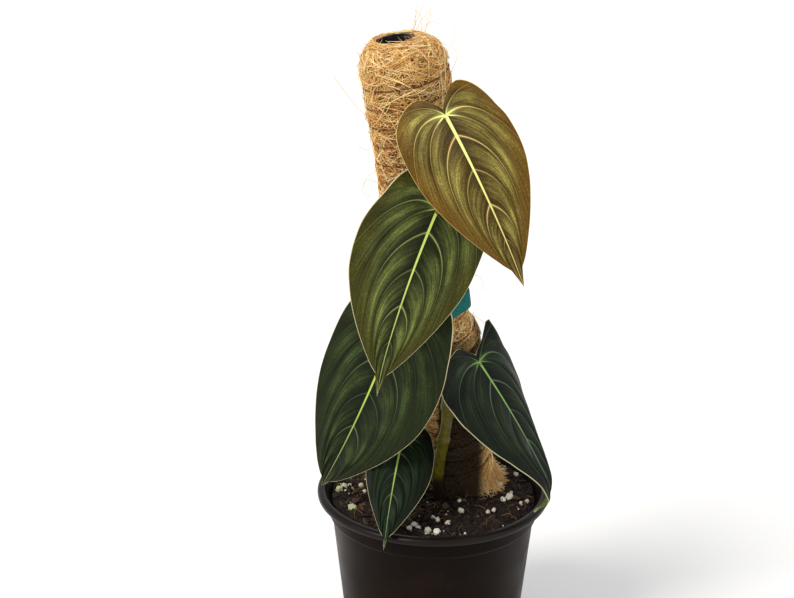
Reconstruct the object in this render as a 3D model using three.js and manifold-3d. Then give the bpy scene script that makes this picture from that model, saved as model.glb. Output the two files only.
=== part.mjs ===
// A young climbing philodendron with velvety heart-shaped leaves.
// It is tied to a coir pole that stands in a black nursery pot of soil.
// Millimetres, +Z up, +X to the right, the front faces -Y.
// The origin is the centre of the pot's flat base.
import * as THREE from 'three';
import { mergeVertices } from 'three/addons/utils/BufferGeometryUtils.js';
import Module from 'manifold-3d';

const wasm = await Module();
wasm.setup();

const GAP = 0.3;

const POT = {
  height: 145, baseRadius: 57, stepHeight: 127, stepRadius: 70,
  collarRadius: 72.3, lipDrop: 4.5, lipRadius: 80, mouthRadius: 74.7,
  wall: 1.5, floor: 2.5, sides: 40,
  drains: 8, drainRadius: 5, drainCircle: 40,
};

const SOIL = { level: 139, mound: 3.5, moundSpan: 34, lump: 1.1, rings: 9 };

// Each row is the place (x, y) and the width of one lump of perlite on the soil.
const PERLITE = [
  [-65, -2, 7], [-62, 3, 5], [-56, 0, 4], [-48, -4, 5], [-54, -29, 7],
  [-12, -50, 5], [-9, -55, 5], [-3, -57, 6], [3, -60, 7], [-15, -57, 4],
  [0, -39, 4], [3, -45, 5], [10, -45, 5], [19, -30, 5], [18, -20, 4],
  [37, -31, 4], [41, -29, 4], [48, -15, 6], [52, -12, 6], [59, 22, 5],
  [54, -3, 4], [64, -15, 4], [60, -19, 4],
];
const HIDDEN_PERLITE = 12;
const PERLITE_PROUD = 0.22;

const POLE = { foot: [20, 16.5, 140], top: [-19.5, -50.8, 448.4], buried: 80 };
// offset is how far the tube's centre lies to the side of the coir's.
const TUBE = { outer: 11, bore: 9.5, offset: -4.5, sides: 16, proud: 1.5 };
const BORE_CLEARANCE = 0.6;

// The hollow in the soil that the coir's foot stands in.
const HOLLOW = { depth: 8, radius: 27, above: 20, sides: 24 };

// Rows of height up the pole and radius of the coir: splayed foot, squeeze of the tie, fluffy head.
const COIR = [
  [0.5, 26], [9, 23.6], [30, 22.6], [60, 22.8], [100, 23], [120, 23.9], [128, 21.8], [135, 17.8],
  [158, 17.8], [165, 21.8], [176, 23.4], [205, 25], [255, 25.4], [299, 25.2], [310, 24], [315, 20],
];
const COIR_SIDES = 22;
const COIR_STEP = 9;
const COIR_LUMP = 0.7;
// The coir's soft edge round the mouth of the tube.
const COIR_LIP = { width: 2, rise: 0.8 };

const TWINE = { radius: 0.6, clear: 0.9, pitch: 11.4, start: 14, end: 302, sides: 4, stepsPerTurn: 12 };

// The strap rises towards its front by tilt degrees, and rounds the stem at stemHeight up the pole.
const TIE = {
  height: 146.5, stemHeight: 152, tilt: 12, width: 12, clear: 2.6, stemClear: 1.2,
  thickness: 1.4, lap: 0.9, lapEnds: [0.08, 0.3], steps: 44,
};

// The climbing stem as rows of height up the pole, and offset to the right of and before its axis.
const STEM_RADIUS = 4;
const STEM = [
  [-14, -15, -27], [4, -15.5, -28.5], [32, -12.8, -28.3], [54, -7.5, -29.4], [74, -2.5, -30],
  [100, 0, -30.4], [126, 0.5, -31], [152, 1, -27.4], [174, 1, -30.6], [198, 0, -32.4], [232, 2, -33],
];
const NODES = [58, 84, 118, 168, 208];
const NODE_SWELL = 1.2;

const PETIOLE_RADIUS = 2.2;
const PETIOLE_STANDOFF = 4.2;

// A blade hangs from `base`, where its stalk joins it, to `tip`; both are points in the pot's frame.
// Pairs hold the left half's value first. Angles are in degrees, lengths in millimetres.
// roll turns the blade about its chord, arch bends the midrib, curl bends its end from curlFrom on.
// fold lifts a half from the midrib, cup bends it on, lift raises the lobe, lobe scales its length.
// point draws a lobe to a point. node is the height on the pole where its stalk leaves the stem, and
// via is a point that the stalk passes.
const LEAVES = [
  {
    name: 'leaf_1', colour: '#5f4d20', base: [5, -92, 409.5], tip: [49, -104, 319.5], roll: -4,
    half: [32.7, 31.5], arch: -53, curl: 9, curlFrom: 0.75, bow: 3.2, fold: [5, -8.5], cup: [-34, -41],
    lobe: [0.74, 0.9], lift: [-4, -8], twist: 12, node: 208, via: [0, -75, 372],
  },
  {
    name: 'leaf_2', colour: '#34501c', base: [1, -76, 354.5], tip: [-33.5, -89, 244.5], roll: 12,
    half: [41.2, 36], arch: -14, curl: 23, curlFrom: 0.75, bow: -3.3, fold: [16.5, 10.5], cup: [-16, -23],
    lobe: [0.86, 1], lift: [3.5, 0], point: [0.05, 0], twist: 14, node: 168, via: [-1, -62, 325],
  },
  {
    name: 'leaf_3', colour: '#1e3318', base: [-25, -57, 273.5], tip: [-75, -21, 152], roll: -16,
    half: [36, 42.5], arch: -22, curl: -16.5, curlFrom: 0.75, bow: 3.7, fold: [12, 15], cup: [-30, -28],
    lobe: [0.96, 1.33], lift: [-3, 5], twist: -7, node: 84, via: [-8, -42, 245],
  },
  {
    name: 'leaf_4', colour: '#1b2a22', base: [28.5, -33, 246.5], tip: [66.5, -45.4, 148], roll: 53,
    half: [39, 36.5], arch: 9, curl: -80, curlFrom: 0.68, bow: 6, fold: [15, 0], cup: [-46, -50],
    lobe: [0.65, 0.94], lift: [17, 12], point: [0, 0.18], twist: -37, node: 58, via: [18, -34, 225],
  },
  {
    name: 'leaf_5', colour: '#16301f', base: [-20.5, -33, 191], tip: [-30, -88, 142.5], roll: -1,
    half: [20.5, 24], arch: -23, curl: 9, curlFrom: 0.75, bow: -1, fold: [-14, -1.5], cup: [-32, -34],
    lobe: [1, 1.1], lift: [0, -5], twist: 5, node: 24, via: [-11, -22, 175],
  },
];

// Half of the blade's outline from notch to tip: share of the half width, share of the blade's length.
const OUTLINE = [
  [0, -0.045], [0.13, -0.12], [0.39, -0.2], [0.73, -0.15], [0.93, -0.02], [1, 0.16],
  [0.95, 0.35], [0.77, 0.52], [0.5, 0.69], [0.22, 0.835], [0.05, 0.91], [0, 1],
];
const BLADE = {
  thickness: 0.9, rib: 1, pleat: 1.3, wave: 0.8, veins: 8, cupSpan: 45,
  fan: 0.36, nearReach: 0.92, farReach: 0.35, endPower: 2.2, headPower: 1.15,
  lobeTop: 0.12, lobeSpan: 0.3, foldEase: 5, twistCentre: 0.3,
};
// How far each point of the lobe's outline moves across where a lobe is pointed.
const POINTED = [0, 1, 1, -0.5, -1];
const ACROSS = [0, 0.1, 0.4, 0.72, 1];
const MIDRIB_STEPS = 80;

const smooth = (t) => {
  const s = Math.min(1, Math.max(0, t));
  return s * s * (3 - 2 * s);
};

const radians = THREE.MathUtils.degToRad;

const vector = ([x, y, z]) => new THREE.Vector3(x, y, z);

function seededRandom(seed) {
  let state = seed;
  return () => {
    state = (state * 16807) % 2147483647;
    return state / 2147483647;
  };
}

// Linear reading of a table of [position, value] rows.
function readTable(rows, at) {
  const i = rows.findIndex((row) => row[0] >= at);
  if (i <= 0) return i === 0 ? rows[0][1] : rows[rows.length - 1][1];
  const share = (at - rows[i - 1][0]) / (rows[i][0] - rows[i - 1][0]);
  return rows[i - 1][1] + share * (rows[i][1] - rows[i - 1][1]);
}

function signedVolume(position, index) {
  const corners = [new THREE.Vector3(), new THREE.Vector3(), new THREE.Vector3()];
  let volume = 0;
  for (let i = 0; i < index.length; i += 3) {
    corners.forEach((corner, j) => corner.fromBufferAttribute(position, index[i + j]));
    volume += corners[0].dot(corners[1].cross(corners[2])) / 6;
  }
  return volume;
}

// Merge shared vertices, drop collapsed triangles and turn the faces outward.
function closed(geometry) {
  const bare = new THREE.BufferGeometry();
  bare.setAttribute('position', geometry.getAttribute('position').clone());
  bare.setIndex(geometry.getIndex());
  const merged = mergeVertices(bare, 2e-3);
  const index = merged.getIndex().array;
  const kept = [];
  for (let i = 0; i < index.length; i += 3) {
    const [a, b, c] = [index[i], index[i + 1], index[i + 2]];
    if (a !== b && b !== c && c !== a) kept.push(a, b, c);
  }
  if (signedVolume(merged.getAttribute('position'), kept) < 0) kept.reverse();
  merged.setIndex(kept);
  return merged;
}

function toManifold(geometry) {
  const solid = closed(geometry);
  return new wasm.Manifold(new wasm.Mesh({
    numProp: 3,
    vertProperties: new Float32Array(solid.getAttribute('position').array),
    triVerts: new Uint32Array(solid.getIndex().array),
  }));
}

function toGeometry(manifold) {
  const mesh = manifold.getMesh();
  const geometry = new THREE.BufferGeometry();
  geometry.setAttribute('position', new THREE.BufferAttribute(new Float32Array(mesh.vertProperties), 3));
  geometry.setIndex(new THREE.BufferAttribute(new Uint32Array(mesh.triVerts), 1));
  return closed(geometry);
}

// The biggest of a cut solid's pieces, without the loose scraps.
function largestPiece(manifold) {
  return manifold.decompose().reduce((a, b) => (a.volume() > b.volume() ? a : b));
}

function meshOf(name, geometry, colour, roughness) {
  const material = new THREE.MeshStandardMaterial({ color: colour, roughness, metalness: 0 });
  const mesh = new THREE.Mesh(closed(geometry), material);
  mesh.name = name;
  return mesh;
}

// Turn a profile of (radius, height) pairs about the Z axis.
function turned(profile, sides) {
  const points = profile.map(([r, z]) => new THREE.Vector2(r, z));
  return new THREE.LatheGeometry(points, sides).rotateX(Math.PI / 2);
}

function tubeAlong(points, radius, sides, steps) {
  const section = new THREE.Shape();
  for (let i = 0; i < sides; i += 1) {
    const angle = (2 * Math.PI * i) / sides;
    const corner = [radius * Math.cos(angle), radius * Math.sin(angle)];
    if (i === 0) section.moveTo(...corner);
    else section.lineTo(...corner);
  }
  const path = new THREE.CatmullRomCurve3(points);
  return new THREE.ExtrudeGeometry(section, { steps, bevelEnabled: false, extrudePath: path });
}

// The pole's own frame: Z runs up its axis from the foot of the coir.
const poleFoot = vector(POLE.foot);
const poleAxis = vector(POLE.top).sub(poleFoot).normalize();
const poleTurn = new THREE.Quaternion().setFromUnitVectors(new THREE.Vector3(0, 0, 1), poleAxis);
const onPole = (x, y, s) => new THREE.Vector3(x, y, s).applyQuaternion(poleTurn).add(poleFoot);
const poleHeight = vector(POLE.top).distanceTo(poleFoot);

const stemPath = STEM.map(([s, x, y]) => onPole(x, y, s));
const stemCurve = new THREE.CatmullRomCurve3(stemPath);

// The point of the stem at a height up the pole.
function stemAt(s) {
  const offset = [1, 2].map((axis) => readTable(STEM.map((row) => [row[0], row[axis]]), s));
  return onPole(offset[0], offset[1], s);
}

function pot() {
  const { height, wall, floor } = POT;
  const lipFoot = height - POT.lipDrop;
  const profile = [
    [0, 0], [POT.baseRadius, 0], [POT.stepRadius, POT.stepHeight], [POT.collarRadius, POT.stepHeight + 0.8],
    [POT.collarRadius + 0.2, lipFoot], [POT.lipRadius - 1, lipFoot], [POT.lipRadius, lipFoot + 1.2],
    [POT.lipRadius - 0.6, height - 0.9], [POT.lipRadius - 2.2, height], [POT.mouthRadius, height],
    [POT.collarRadius - wall, lipFoot - 3], [POT.stepRadius - wall, POT.stepHeight - 1],
    [POT.baseRadius - wall, floor], [0, floor],
  ];
  let body = toManifold(turned(profile, POT.sides));
  for (let i = 0; i < POT.drains; i += 1) {
    const angle = (2 * Math.PI * (i + 0.5)) / POT.drains;
    const drain = new THREE.CylinderGeometry(POT.drainRadius, POT.drainRadius, 4 * floor, 12);
    drain.rotateX(Math.PI / 2);
    drain.translate(POT.drainCircle * Math.cos(angle), POT.drainCircle * Math.sin(angle), floor / 2);
    body = body.subtract(toManifold(drain));
  }
  return meshOf('pot', toGeometry(body), '#1e1816', 0.45);
}

// Height of the soil's surface: a low mound towards the pole, with lumps.
function soilHeight(x, y) {
  const fromPole = Math.hypot(x - poleFoot.x, y - poleFoot.y);
  const lumps = Math.sin(0.31 * x + 1.7) * Math.cos(0.27 * y) + 0.6 * Math.sin(0.53 * y + 0.37 * x);
  return SOIL.level + SOIL.mound * Math.exp(-((fromPole / SOIL.moundSpan) ** 2)) + SOIL.lump * lumps;
}

function soilBody() {
  const bottom = POT.floor + GAP;
  const collarInner = POT.collarRadius - POT.wall - 4 * GAP;
  const profile = [[0, bottom], [POT.baseRadius - POT.wall - GAP, bottom]];
  profile.push([POT.stepRadius - POT.wall - GAP - 0.1, POT.stepHeight - 1], [collarInner, SOIL.level - 3]);
  for (let i = 0; i <= SOIL.rings; i += 1) {
    profile.push([collarInner * (1 - i / SOIL.rings), SOIL.level]);
  }
  const body = turned(profile, POT.sides);
  const position = body.getAttribute('position');
  for (let i = 0; i < position.count; i += 1) {
    if (position.getZ(i) > SOIL.level - 0.5) {
      position.setZ(i, soilHeight(position.getX(i), position.getY(i)));
    }
  }
  return toManifold(body);
}

// One angular lump of perlite, half sunk in the soil.
function perliteLump(x, y, width, random) {
  const lump = new THREE.IcosahedronGeometry(width / 2, 0);
  lump.scale(0.8 + 0.4 * random(), 0.8 + 0.4 * random(), 0.7 + 0.3 * random());
  lump.rotateX(3 * random());
  lump.rotateZ(6 * random());
  lump.translate(x, y, soilHeight(x, y) + PERLITE_PROUD * width);
  return toManifold(lump);
}

// Room for the buried tube, and above it the hollow for the coir.
function poleHole() {
  const radius = TUBE.outer + BORE_CLEARANCE;
  const bottom = -POLE.buried - 2;
  const bore = turned([[0, bottom], [radius, bottom], [radius, 0], [0, 0]], HOLLOW.sides);
  bore.translate(TUBE.offset, 0, 0);
  const hollow = turned([
    [0, -HOLLOW.depth], [HOLLOW.radius, -HOLLOW.depth], [HOLLOW.radius, HOLLOW.above], [0, HOLLOW.above],
  ], HOLLOW.sides);
  for (const hole of [bore, hollow]) {
    hole.applyQuaternion(poleTurn);
    hole.translate(poleFoot.x, poleFoot.y, poleFoot.z);
  }
  return toManifold(bore).add(toManifold(hollow));
}

function stemHole() {
  const below = onPole(-15, -26, -22);
  return toManifold(tubeAlong([below, ...stemPath.slice(0, 3)], STEM_RADIUS + BORE_CLEARANCE, 12, 12));
}

function soil() {
  const random = seededRandom(17);
  let body = soilBody();
  const places = [...PERLITE];
  for (let i = 0; i < HIDDEN_PERLITE; i += 1) {
    const angle = Math.PI * (0.1 + 0.8 * random());
    const radius = 35 + 30 * random();
    places.push([radius * Math.cos(angle), radius * Math.sin(angle), 3 + 3 * random()]);
  }
  for (const [x, y, width] of places) {
    body = body.add(perliteLump(x, y, width, random));
  }
  body = body.subtract(poleHole()).subtract(stemHole());
  return meshOf('soil', toGeometry(largestPiece(body)), '#2a1c14', 0.95);
}

function poleTube() {
  const top = poleHeight + TUBE.proud;
  const profile = [
    [TUBE.bore, -POLE.buried], [TUBE.outer, -POLE.buried], [TUBE.outer, top], [TUBE.bore, top],
    [TUBE.bore, -POLE.buried],
  ];
  const tube = turned(profile, TUBE.sides).translate(TUBE.offset, 0, 0);
  return meshOf('pole_tube', tube, '#1f2124', 0.5);
}

const coirRadius = (s) => readTable(COIR, s);

function coirSleeve() {
  const bottom = COIR[0][0];
  const top = poleHeight;
  const inner = TUBE.outer + GAP + 0.2;
  const profile = [[inner, bottom]];
  for (let i = 1; i < COIR.length; i += 1) {
    const [from, to] = [COIR[i - 1][0], Math.min(COIR[i][0], top)];
    const steps = Math.max(1, Math.round((to - from) / COIR_STEP));
    for (let j = 0; j < steps; j += 1) {
      const s = from + ((to - from) * j) / steps;
      profile.push([coirRadius(s), s]);
    }
  }
  profile.push([coirRadius(top), top]);
  const lip = inner + COIR_LIP.width;
  profile.push([lip, top + COIR_LIP.rise], [inner, top], [inner, bottom]);
  const sleeve = turned(profile, COIR_SIDES);
  const position = sleeve.getAttribute('position');
  for (let i = 0; i < position.count; i += 1) {
    const [x, y, s] = [position.getX(i), position.getY(i), position.getZ(i)];
    const radius = Math.hypot(x, y);
    if (radius < lip + 0.1) {
      position.setX(i, x + TUBE.offset);
    } else {
      const angle = Math.atan2(y, x);
      const lumps = Math.sin(3 * angle + 0.09 * s) * Math.cos(2 * angle - 0.13 * s);
      const grow = 1 - (COIR_LUMP * (0.6 + 0.4 * lumps)) / radius;
      position.setXYZ(i, x * grow, y * grow, s);
    }
  }
  return meshOf('coir_sleeve', sleeve, '#c08a48', 0.95);
}

// The twine winds up the pole clear of the tie and the stem, which lies over it.
function bindingTwine() {
  const turns = (TWINE.end - TWINE.start) / TWINE.pitch;
  const count = Math.round(turns * TWINE.stepsPerTurn);
  const points = [];
  for (let i = 0; i <= count; i += 1) {
    const share = i / count;
    const s = TWINE.start + share * (TWINE.end - TWINE.start);
    const angle = 2 * Math.PI * turns * share;
    const clear = coirRadius(s) + TWINE.clear + TWINE.radius;
    points.push(new THREE.Vector3(clear * Math.cos(angle), clear * Math.sin(angle), s));
  }
  return meshOf('binding_twine', tubeAlong(points, TWINE.radius, TWINE.sides, count), '#7a4326', 0.9);
}

// Outline of a strap drawn tight round the coir and the stem before it, `out` millimetres away.
function strapOutline(out) {
  const stemRow = STEM.find((row) => row[0] === TIE.stemHeight);
  const poleCircle = new THREE.Vector3(0, 0, coirRadius(TIE.height) + TIE.clear);
  const stemCircle = new THREE.Vector3(stemRow[1], stemRow[2], STEM_RADIUS + TIE.stemClear);
  const outline = [];
  for (let i = 0; i < TIE.steps; i += 1) {
    const angle = (2 * Math.PI * i) / TIE.steps;
    const [cos, sin] = [Math.cos(angle), Math.sin(angle)];
    const supports = [poleCircle, stemCircle].map((c) => c.x * cos + c.y * sin + c.z);
    const held = supports[0] > supports[1] ? poleCircle : stemCircle;
    outline.push(new THREE.Vector2(held.x + (held.z + out) * cos, held.y + (held.z + out) * sin));
  }
  return outline;
}

// A hook-and-loop strap: the stretch where its end laps over itself is thicker.
function plantTie() {
  const outer = strapOutline(GAP + TIE.thickness);
  const lapped = strapOutline(GAP + TIE.thickness * (1 + TIE.lap));
  const [lapFrom, lapTo] = TIE.lapEnds.map((share) => Math.round(TIE.steps * share));
  const shape = new THREE.Shape(outer.map((point, i) => (i >= lapFrom && i <= lapTo ? lapped[i] : point)));
  shape.holes.push(new THREE.Path(strapOutline(GAP)));
  const strap = new THREE.ExtrudeGeometry(shape, { depth: TIE.width, bevelEnabled: false, steps: 1 });
  const position = strap.getAttribute('position');
  const rise = Math.tan(radians(TIE.tilt));
  for (let i = 0; i < position.count; i += 1) {
    position.setZ(i, position.getZ(i) + TIE.height - TIE.width / 2 - rise * position.getY(i));
  }
  return meshOf('plant_tie', strap, '#0a7672', 0.9);
}

// The frame that a blade hangs in: along its chord, across to its right, and outward from its face.
function bladeFrame(leaf) {
  const chord = vector(leaf.tip).sub(vector(leaf.base));
  const along = chord.clone().normalize();
  const face = new THREE.Vector3(0, -1, 0).projectOnPlane(along).normalize();
  const across = new THREE.Vector3().crossVectors(face, along);
  const roll = radians(leaf.roll);
  return {
    along,
    across: across.clone().multiplyScalar(Math.cos(roll)).addScaledVector(face, -Math.sin(roll)),
    face: face.clone().multiplyScalar(Math.cos(roll)).addScaledVector(across, Math.sin(roll)),
    chord: chord.length(),
  };
}

// The midrib in its own plane for a length of one, with its chord laid along the first axis.
function midribTable(leaf) {
  const rows = [{ x: 0, y: 0, angle: 0 }];
  const angleAt = (v) => radians(leaf.arch) * v
    + radians(leaf.curl) * smooth((v - leaf.curlFrom) / (1 - leaf.curlFrom));
  for (let i = 1; i <= MIDRIB_STEPS; i += 1) {
    const [before, after] = [angleAt((i - 1) / MIDRIB_STEPS), angleAt(i / MIDRIB_STEPS)];
    const last = rows[i - 1];
    rows.push({
      x: last.x + (Math.cos(before) + Math.cos(after)) / 2 / MIDRIB_STEPS,
      y: last.y + (Math.sin(before) + Math.sin(after)) / 2 / MIDRIB_STEPS,
      angle: after,
    });
  }
  const end = rows[MIDRIB_STEPS];
  const tilt = Math.atan2(end.y, end.x);
  const turned = rows.map(({ x, y, angle }) => ({
    x: x * Math.cos(tilt) + y * Math.sin(tilt),
    y: y * Math.cos(tilt) - x * Math.sin(tilt),
    angle: angle - tilt,
  }));
  return { rows: turned, span: Math.hypot(end.x, end.y) };
}

// Everything that places one blade, worked out once.
function bladeShape(leaf) {
  const frame = bladeFrame(leaf);
  const midrib = midribTable(leaf);
  const length = frame.chord / midrib.span;
  const margins = leaf.half.map((half, side) => new THREE.SplineCurve(OUTLINE.map(([w, v], row) => {
    const inLobe = w > 0 && v < 0;
    const across = w + (inLobe && leaf.point ? leaf.point[side] * POINTED[row] : 0);
    return new THREE.Vector2(across * half, v * length * (inLobe ? leaf.lobe[side] : 1));
  })));
  return { leaf, frame, midrib, length, margins };
}

// A point on the flat half blade: k picks a vein-like line from notch to tip, t runs out along it.
function veinPoint(shape, side, k, t) {
  const margin = shape.margins[side];
  const start = new THREE.Vector2(0, shape.length * Math.max(0, (k - BLADE.fan) / (1 - BLADE.fan)));
  const end = margin.getPointAt(1 - (1 - k) ** BLADE.endPower);
  const heading = margin.getPointAt(1 - (1 - k) ** BLADE.headPower);
  const reach = BLADE.nearReach + (BLADE.farReach - BLADE.nearReach) * k;
  const control = start.clone().lerp(heading, reach);
  const toControl = start.clone().lerp(control, t);
  return toControl.lerp(control.lerp(end, t), t);
}

// Carry a flat point (x across, y along) and a height off the face into the pot's frame.
function placeOnBlade(shape, side, x, y, height) {
  const { leaf, frame, midrib, length } = shape;
  const v = Math.min(1, Math.max(0, y / length));
  const step = Math.min(MIDRIB_STEPS - 1, Math.floor(v * MIDRIB_STEPS));
  const share = v * MIDRIB_STEPS - step;
  const [from, to] = [midrib.rows[step], midrib.rows[step + 1]];
  const mix = (key) => from[key] + share * (to[key] - from[key]);
  const angle = mix('angle');
  const back = Math.min(0, y / length);
  const alongReach = length * (mix('x') + back * Math.cos(midrib.rows[0].angle));
  const faceReach = length * (mix('y') + back * Math.sin(midrib.rows[0].angle));
  const normal = frame.face.clone().multiplyScalar(Math.cos(angle))
    .addScaledVector(frame.along, -Math.sin(angle));
  const lobeShare = smooth((BLADE.lobeTop - y / length) / BLADE.lobeSpan)
    * Math.min(1, (2 * x) / BLADE.cupSpan);
  const bend = radians(leaf.fold[side] + (0.5 * leaf.cup[side] * x) / BLADE.cupSpan
    + leaf.lift[side] * lobeShare);
  const twist = radians(leaf.twist) * (v - BLADE.twistCentre);
  const across = frame.across.clone().multiplyScalar(Math.cos(twist))
    .addScaledVector(normal, Math.sin(twist));
  const face = normal.clone().multiplyScalar(Math.cos(twist))
    .addScaledVector(frame.across, -Math.sin(twist));
  const hand = side === 0 ? -1 : 1;
  const faceBend = bend * smooth(x / BLADE.foldEase);
  const surface = face.clone().multiplyScalar(Math.cos(faceBend))
    .addScaledVector(across, -hand * Math.sin(faceBend));
  return vector(leaf.base)
    .addScaledVector(frame.along, alongReach)
    .addScaledVector(frame.face, faceReach)
    .addScaledVector(frame.across, leaf.bow * 4 * v * (1 - v))
    .addScaledVector(across, hand * x * Math.cos(bend))
    .addScaledVector(face, x * Math.sin(bend))
    .addScaledVector(surface, height);
}

// Relief of the face: pleats between the sunken veins and a slow wave of the margin.
function bladeRelief(k, t) {
  const pleat = Math.cos(Math.PI * BLADE.veins * k) ** 2 * Math.sin(Math.PI * t) * smooth(k / 0.08);
  const wave = Math.sin(11 * k + 1) * t * t * smooth(k / 0.1) * smooth((1 - k) / 0.3);
  return BLADE.pleat * pleat * smooth((1 - k) / 0.25) + BLADE.wave * wave;
}

// Lines of the blade's grid: every vein and every pleat's crest, doubled round the lobe.
function bladeLines() {
  const lines = [];
  for (let i = 0; i <= 2 * BLADE.veins; i += 0.5) {
    if (i < 5 || Number.isInteger(i)) lines.push(i / (2 * BLADE.veins));
  }
  return lines;
}

function blade(leaf) {
  const shape = bladeShape(leaf);
  const lines = bladeLines();
  const positions = [];
  const index = [];
  for (const side of [0, 1]) {
    const first = positions.length / 3;
    for (const k of lines) {
      for (const t of ACROSS) {
        const flat = veinPoint(shape, side, k, t);
        const x = Math.abs(flat.x);
        const relief = bladeRelief(k, t);
        const rib = k > BLADE.fan && t === 0 ? BLADE.rib * smooth((1 - k) / 0.3) : 0;
        const top = placeOnBlade(shape, side, x, flat.y, relief + BLADE.thickness / 2);
        const under = placeOnBlade(shape, side, x, flat.y, relief - BLADE.thickness / 2 - rib);
        positions.push(...top.toArray(), ...under.toArray());
      }
    }
    const at = (i, j, face) => first + 2 * (i * ACROSS.length + j) + face;
    const quad = (a, b, c, d) => (side === 0 ? index.push(a, b, c, a, c, d) : index.push(a, c, b, a, d, c));
    for (let i = 0; i < lines.length - 1; i += 1) {
      for (let j = 0; j < ACROSS.length - 1; j += 1) {
        quad(at(i + 1, j, 0), at(i + 1, j + 1, 0), at(i, j + 1, 0), at(i, j, 0));
        quad(at(i, j + 1, 1), at(i + 1, j + 1, 1), at(i + 1, j, 1), at(i, j, 1));
      }
      const rim = ACROSS.length - 1;
      quad(at(i, rim, 0), at(i + 1, rim, 0), at(i + 1, rim, 1), at(i, rim, 1));
    }
  }
  const geometry = new THREE.BufferGeometry();
  geometry.setAttribute('position', new THREE.Float32BufferAttribute(positions, 3));
  geometry.setIndex(index);
  return meshOf(leaf.name, geometry, leaf.colour, 0.7);
}

// A leaf stalk from the stem up to just behind the blade's junction.
function petiole(leaf) {
  const shape = bladeShape(leaf);
  const end = placeOnBlade(shape, 0, 0, 0, -PETIOLE_STANDOFF);
  const path = [stemAt(leaf.node - 8), stemAt(leaf.node + 4), vector(leaf.via), end];
  return toManifold(tubeAlong(path, PETIOLE_RADIUS, 7, 12));
}

function stem() {
  let body = toManifold(tubeAlong(stemPath, STEM_RADIUS, 9, 26));
  for (const s of NODES) {
    const swelling = new THREE.SphereGeometry(STEM_RADIUS * NODE_SWELL, 9, 6);
    swelling.translate(...stemAt(s).toArray());
    body = body.add(toManifold(swelling));
  }
  for (const leaf of LEAVES) {
    body = body.add(petiole(leaf));
  }
  return meshOf('stem', toGeometry(body), '#6b7018', 0.6);
}

const plant = new THREE.Group();
plant.add(pot(), soil(), stem());

const pole = new THREE.Group();
pole.position.copy(poleFoot);
pole.quaternion.copy(poleTurn);
pole.add(poleTube(), coirSleeve(), bindingTwine(), plantTie());
plant.add(pole);

for (const leaf of LEAVES) {
  plant.add(blade(leaf));
}

export default plant;
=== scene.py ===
# %% [markdown]
# # A young philodendron on a coir pole
# The plant climbs a leaning pole in a black nursery pot. Its leaves are the subject: thin velvety
# hearts with pale veins, broad pleats and a fine light margin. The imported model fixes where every
# piece is and how large it is. Here each piece is made again, finer, around that frame.

import bmesh
import bpy
import numpy as np
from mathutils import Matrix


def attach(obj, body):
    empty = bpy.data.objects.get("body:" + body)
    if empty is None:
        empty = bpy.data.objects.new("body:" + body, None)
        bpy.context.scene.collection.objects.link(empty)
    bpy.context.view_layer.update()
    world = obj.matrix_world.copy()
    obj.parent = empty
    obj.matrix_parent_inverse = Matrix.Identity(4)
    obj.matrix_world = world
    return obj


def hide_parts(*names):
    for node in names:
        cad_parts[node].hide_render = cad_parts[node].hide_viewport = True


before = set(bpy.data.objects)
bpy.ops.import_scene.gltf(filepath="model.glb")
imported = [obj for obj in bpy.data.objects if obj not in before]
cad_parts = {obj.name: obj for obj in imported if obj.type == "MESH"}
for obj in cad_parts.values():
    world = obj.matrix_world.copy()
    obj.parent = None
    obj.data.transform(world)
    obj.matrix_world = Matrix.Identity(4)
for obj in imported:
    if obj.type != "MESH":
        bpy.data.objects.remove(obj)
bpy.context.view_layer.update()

# %% [markdown]
# ## Meshes from whole arrays
# A surface is a grid of points, worked out by numpy in one go, and its faces are the quads between
# neighbouring rows and columns. Blender's own primitives would be quicker to call, but a formula
# keeps every dimension in sight, and one array of points can hold thousands of fibres.

# %% Put arrays into a mesh
MM = 0.001


def outward(points, faces):
    """Turn the faces so that the volume they enclose, the sum of a.(b x c) / 6, is positive."""
    fans = [np.stack([f[:, 0], f[:, i], f[:, i + 1]], 1) for f in faces for i in range(1, f.shape[1] - 1)]
    a, b, c = np.moveaxis(points[np.concatenate(fans)], 1, 0)
    volume = np.einsum("ni,ni->", a - points[0], np.cross(b - points[0], c - points[0]))
    return faces if volume > 0 else [f[:, ::-1] for f in faces]


def put_mesh(name, points, faces, values=None, sharp_degrees=180):
    """Make an object. points are in mm, faces a list of arrays of corner numbers, one row a face,
    and values are named numbers, one for each point, that a material can read."""
    points = np.ascontiguousarray(points, float).reshape(-1, 3) * MM
    faces = outward(points, faces)
    sizes = np.concatenate([np.full(len(f), f.shape[1]) for f in faces])
    corners = np.concatenate([f.ravel() for f in faces])
    mesh = bpy.data.meshes.new(name)
    mesh.vertices.add(len(points))
    mesh.vertices.foreach_set("co", points.ravel())
    mesh.loops.add(len(corners))
    mesh.loops.foreach_set("vertex_index", corners.astype(np.int32))
    mesh.polygons.add(len(sizes))
    mesh.polygons.foreach_set("loop_start", (np.cumsum(sizes) - sizes).astype(np.int32))
    mesh.update(calc_edges=True)
    mesh.validate()
    mesh.polygons.foreach_set("use_smooth", np.ones(len(sizes), bool))
    for key, numbers in (values or {}).items():
        layer = mesh.attributes.new(key, "FLOAT", "POINT")
        layer.data.foreach_set("value", np.ascontiguousarray(numbers, np.float32).ravel())
    if sharp_degrees < 180:
        mesh.set_sharp_from_angle(angle=np.radians(sharp_degrees))
    piece = bpy.data.objects.new(name, mesh)
    bpy.context.scene.collection.objects.link(piece)
    print(f"{name}: {len(points)} points, {int((sizes - 2).sum())} triangles")
    return piece


def settle(piece, material, slot, *nodes):
    """Dress a finished piece, tie it to the one body, and hide the imported parts it stands for."""
    piece.data.materials.append(material)
    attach(piece, "root")
    if nodes:
        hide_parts(*nodes)
    print(f"{piece.name} is made of {material.name}")


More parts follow.
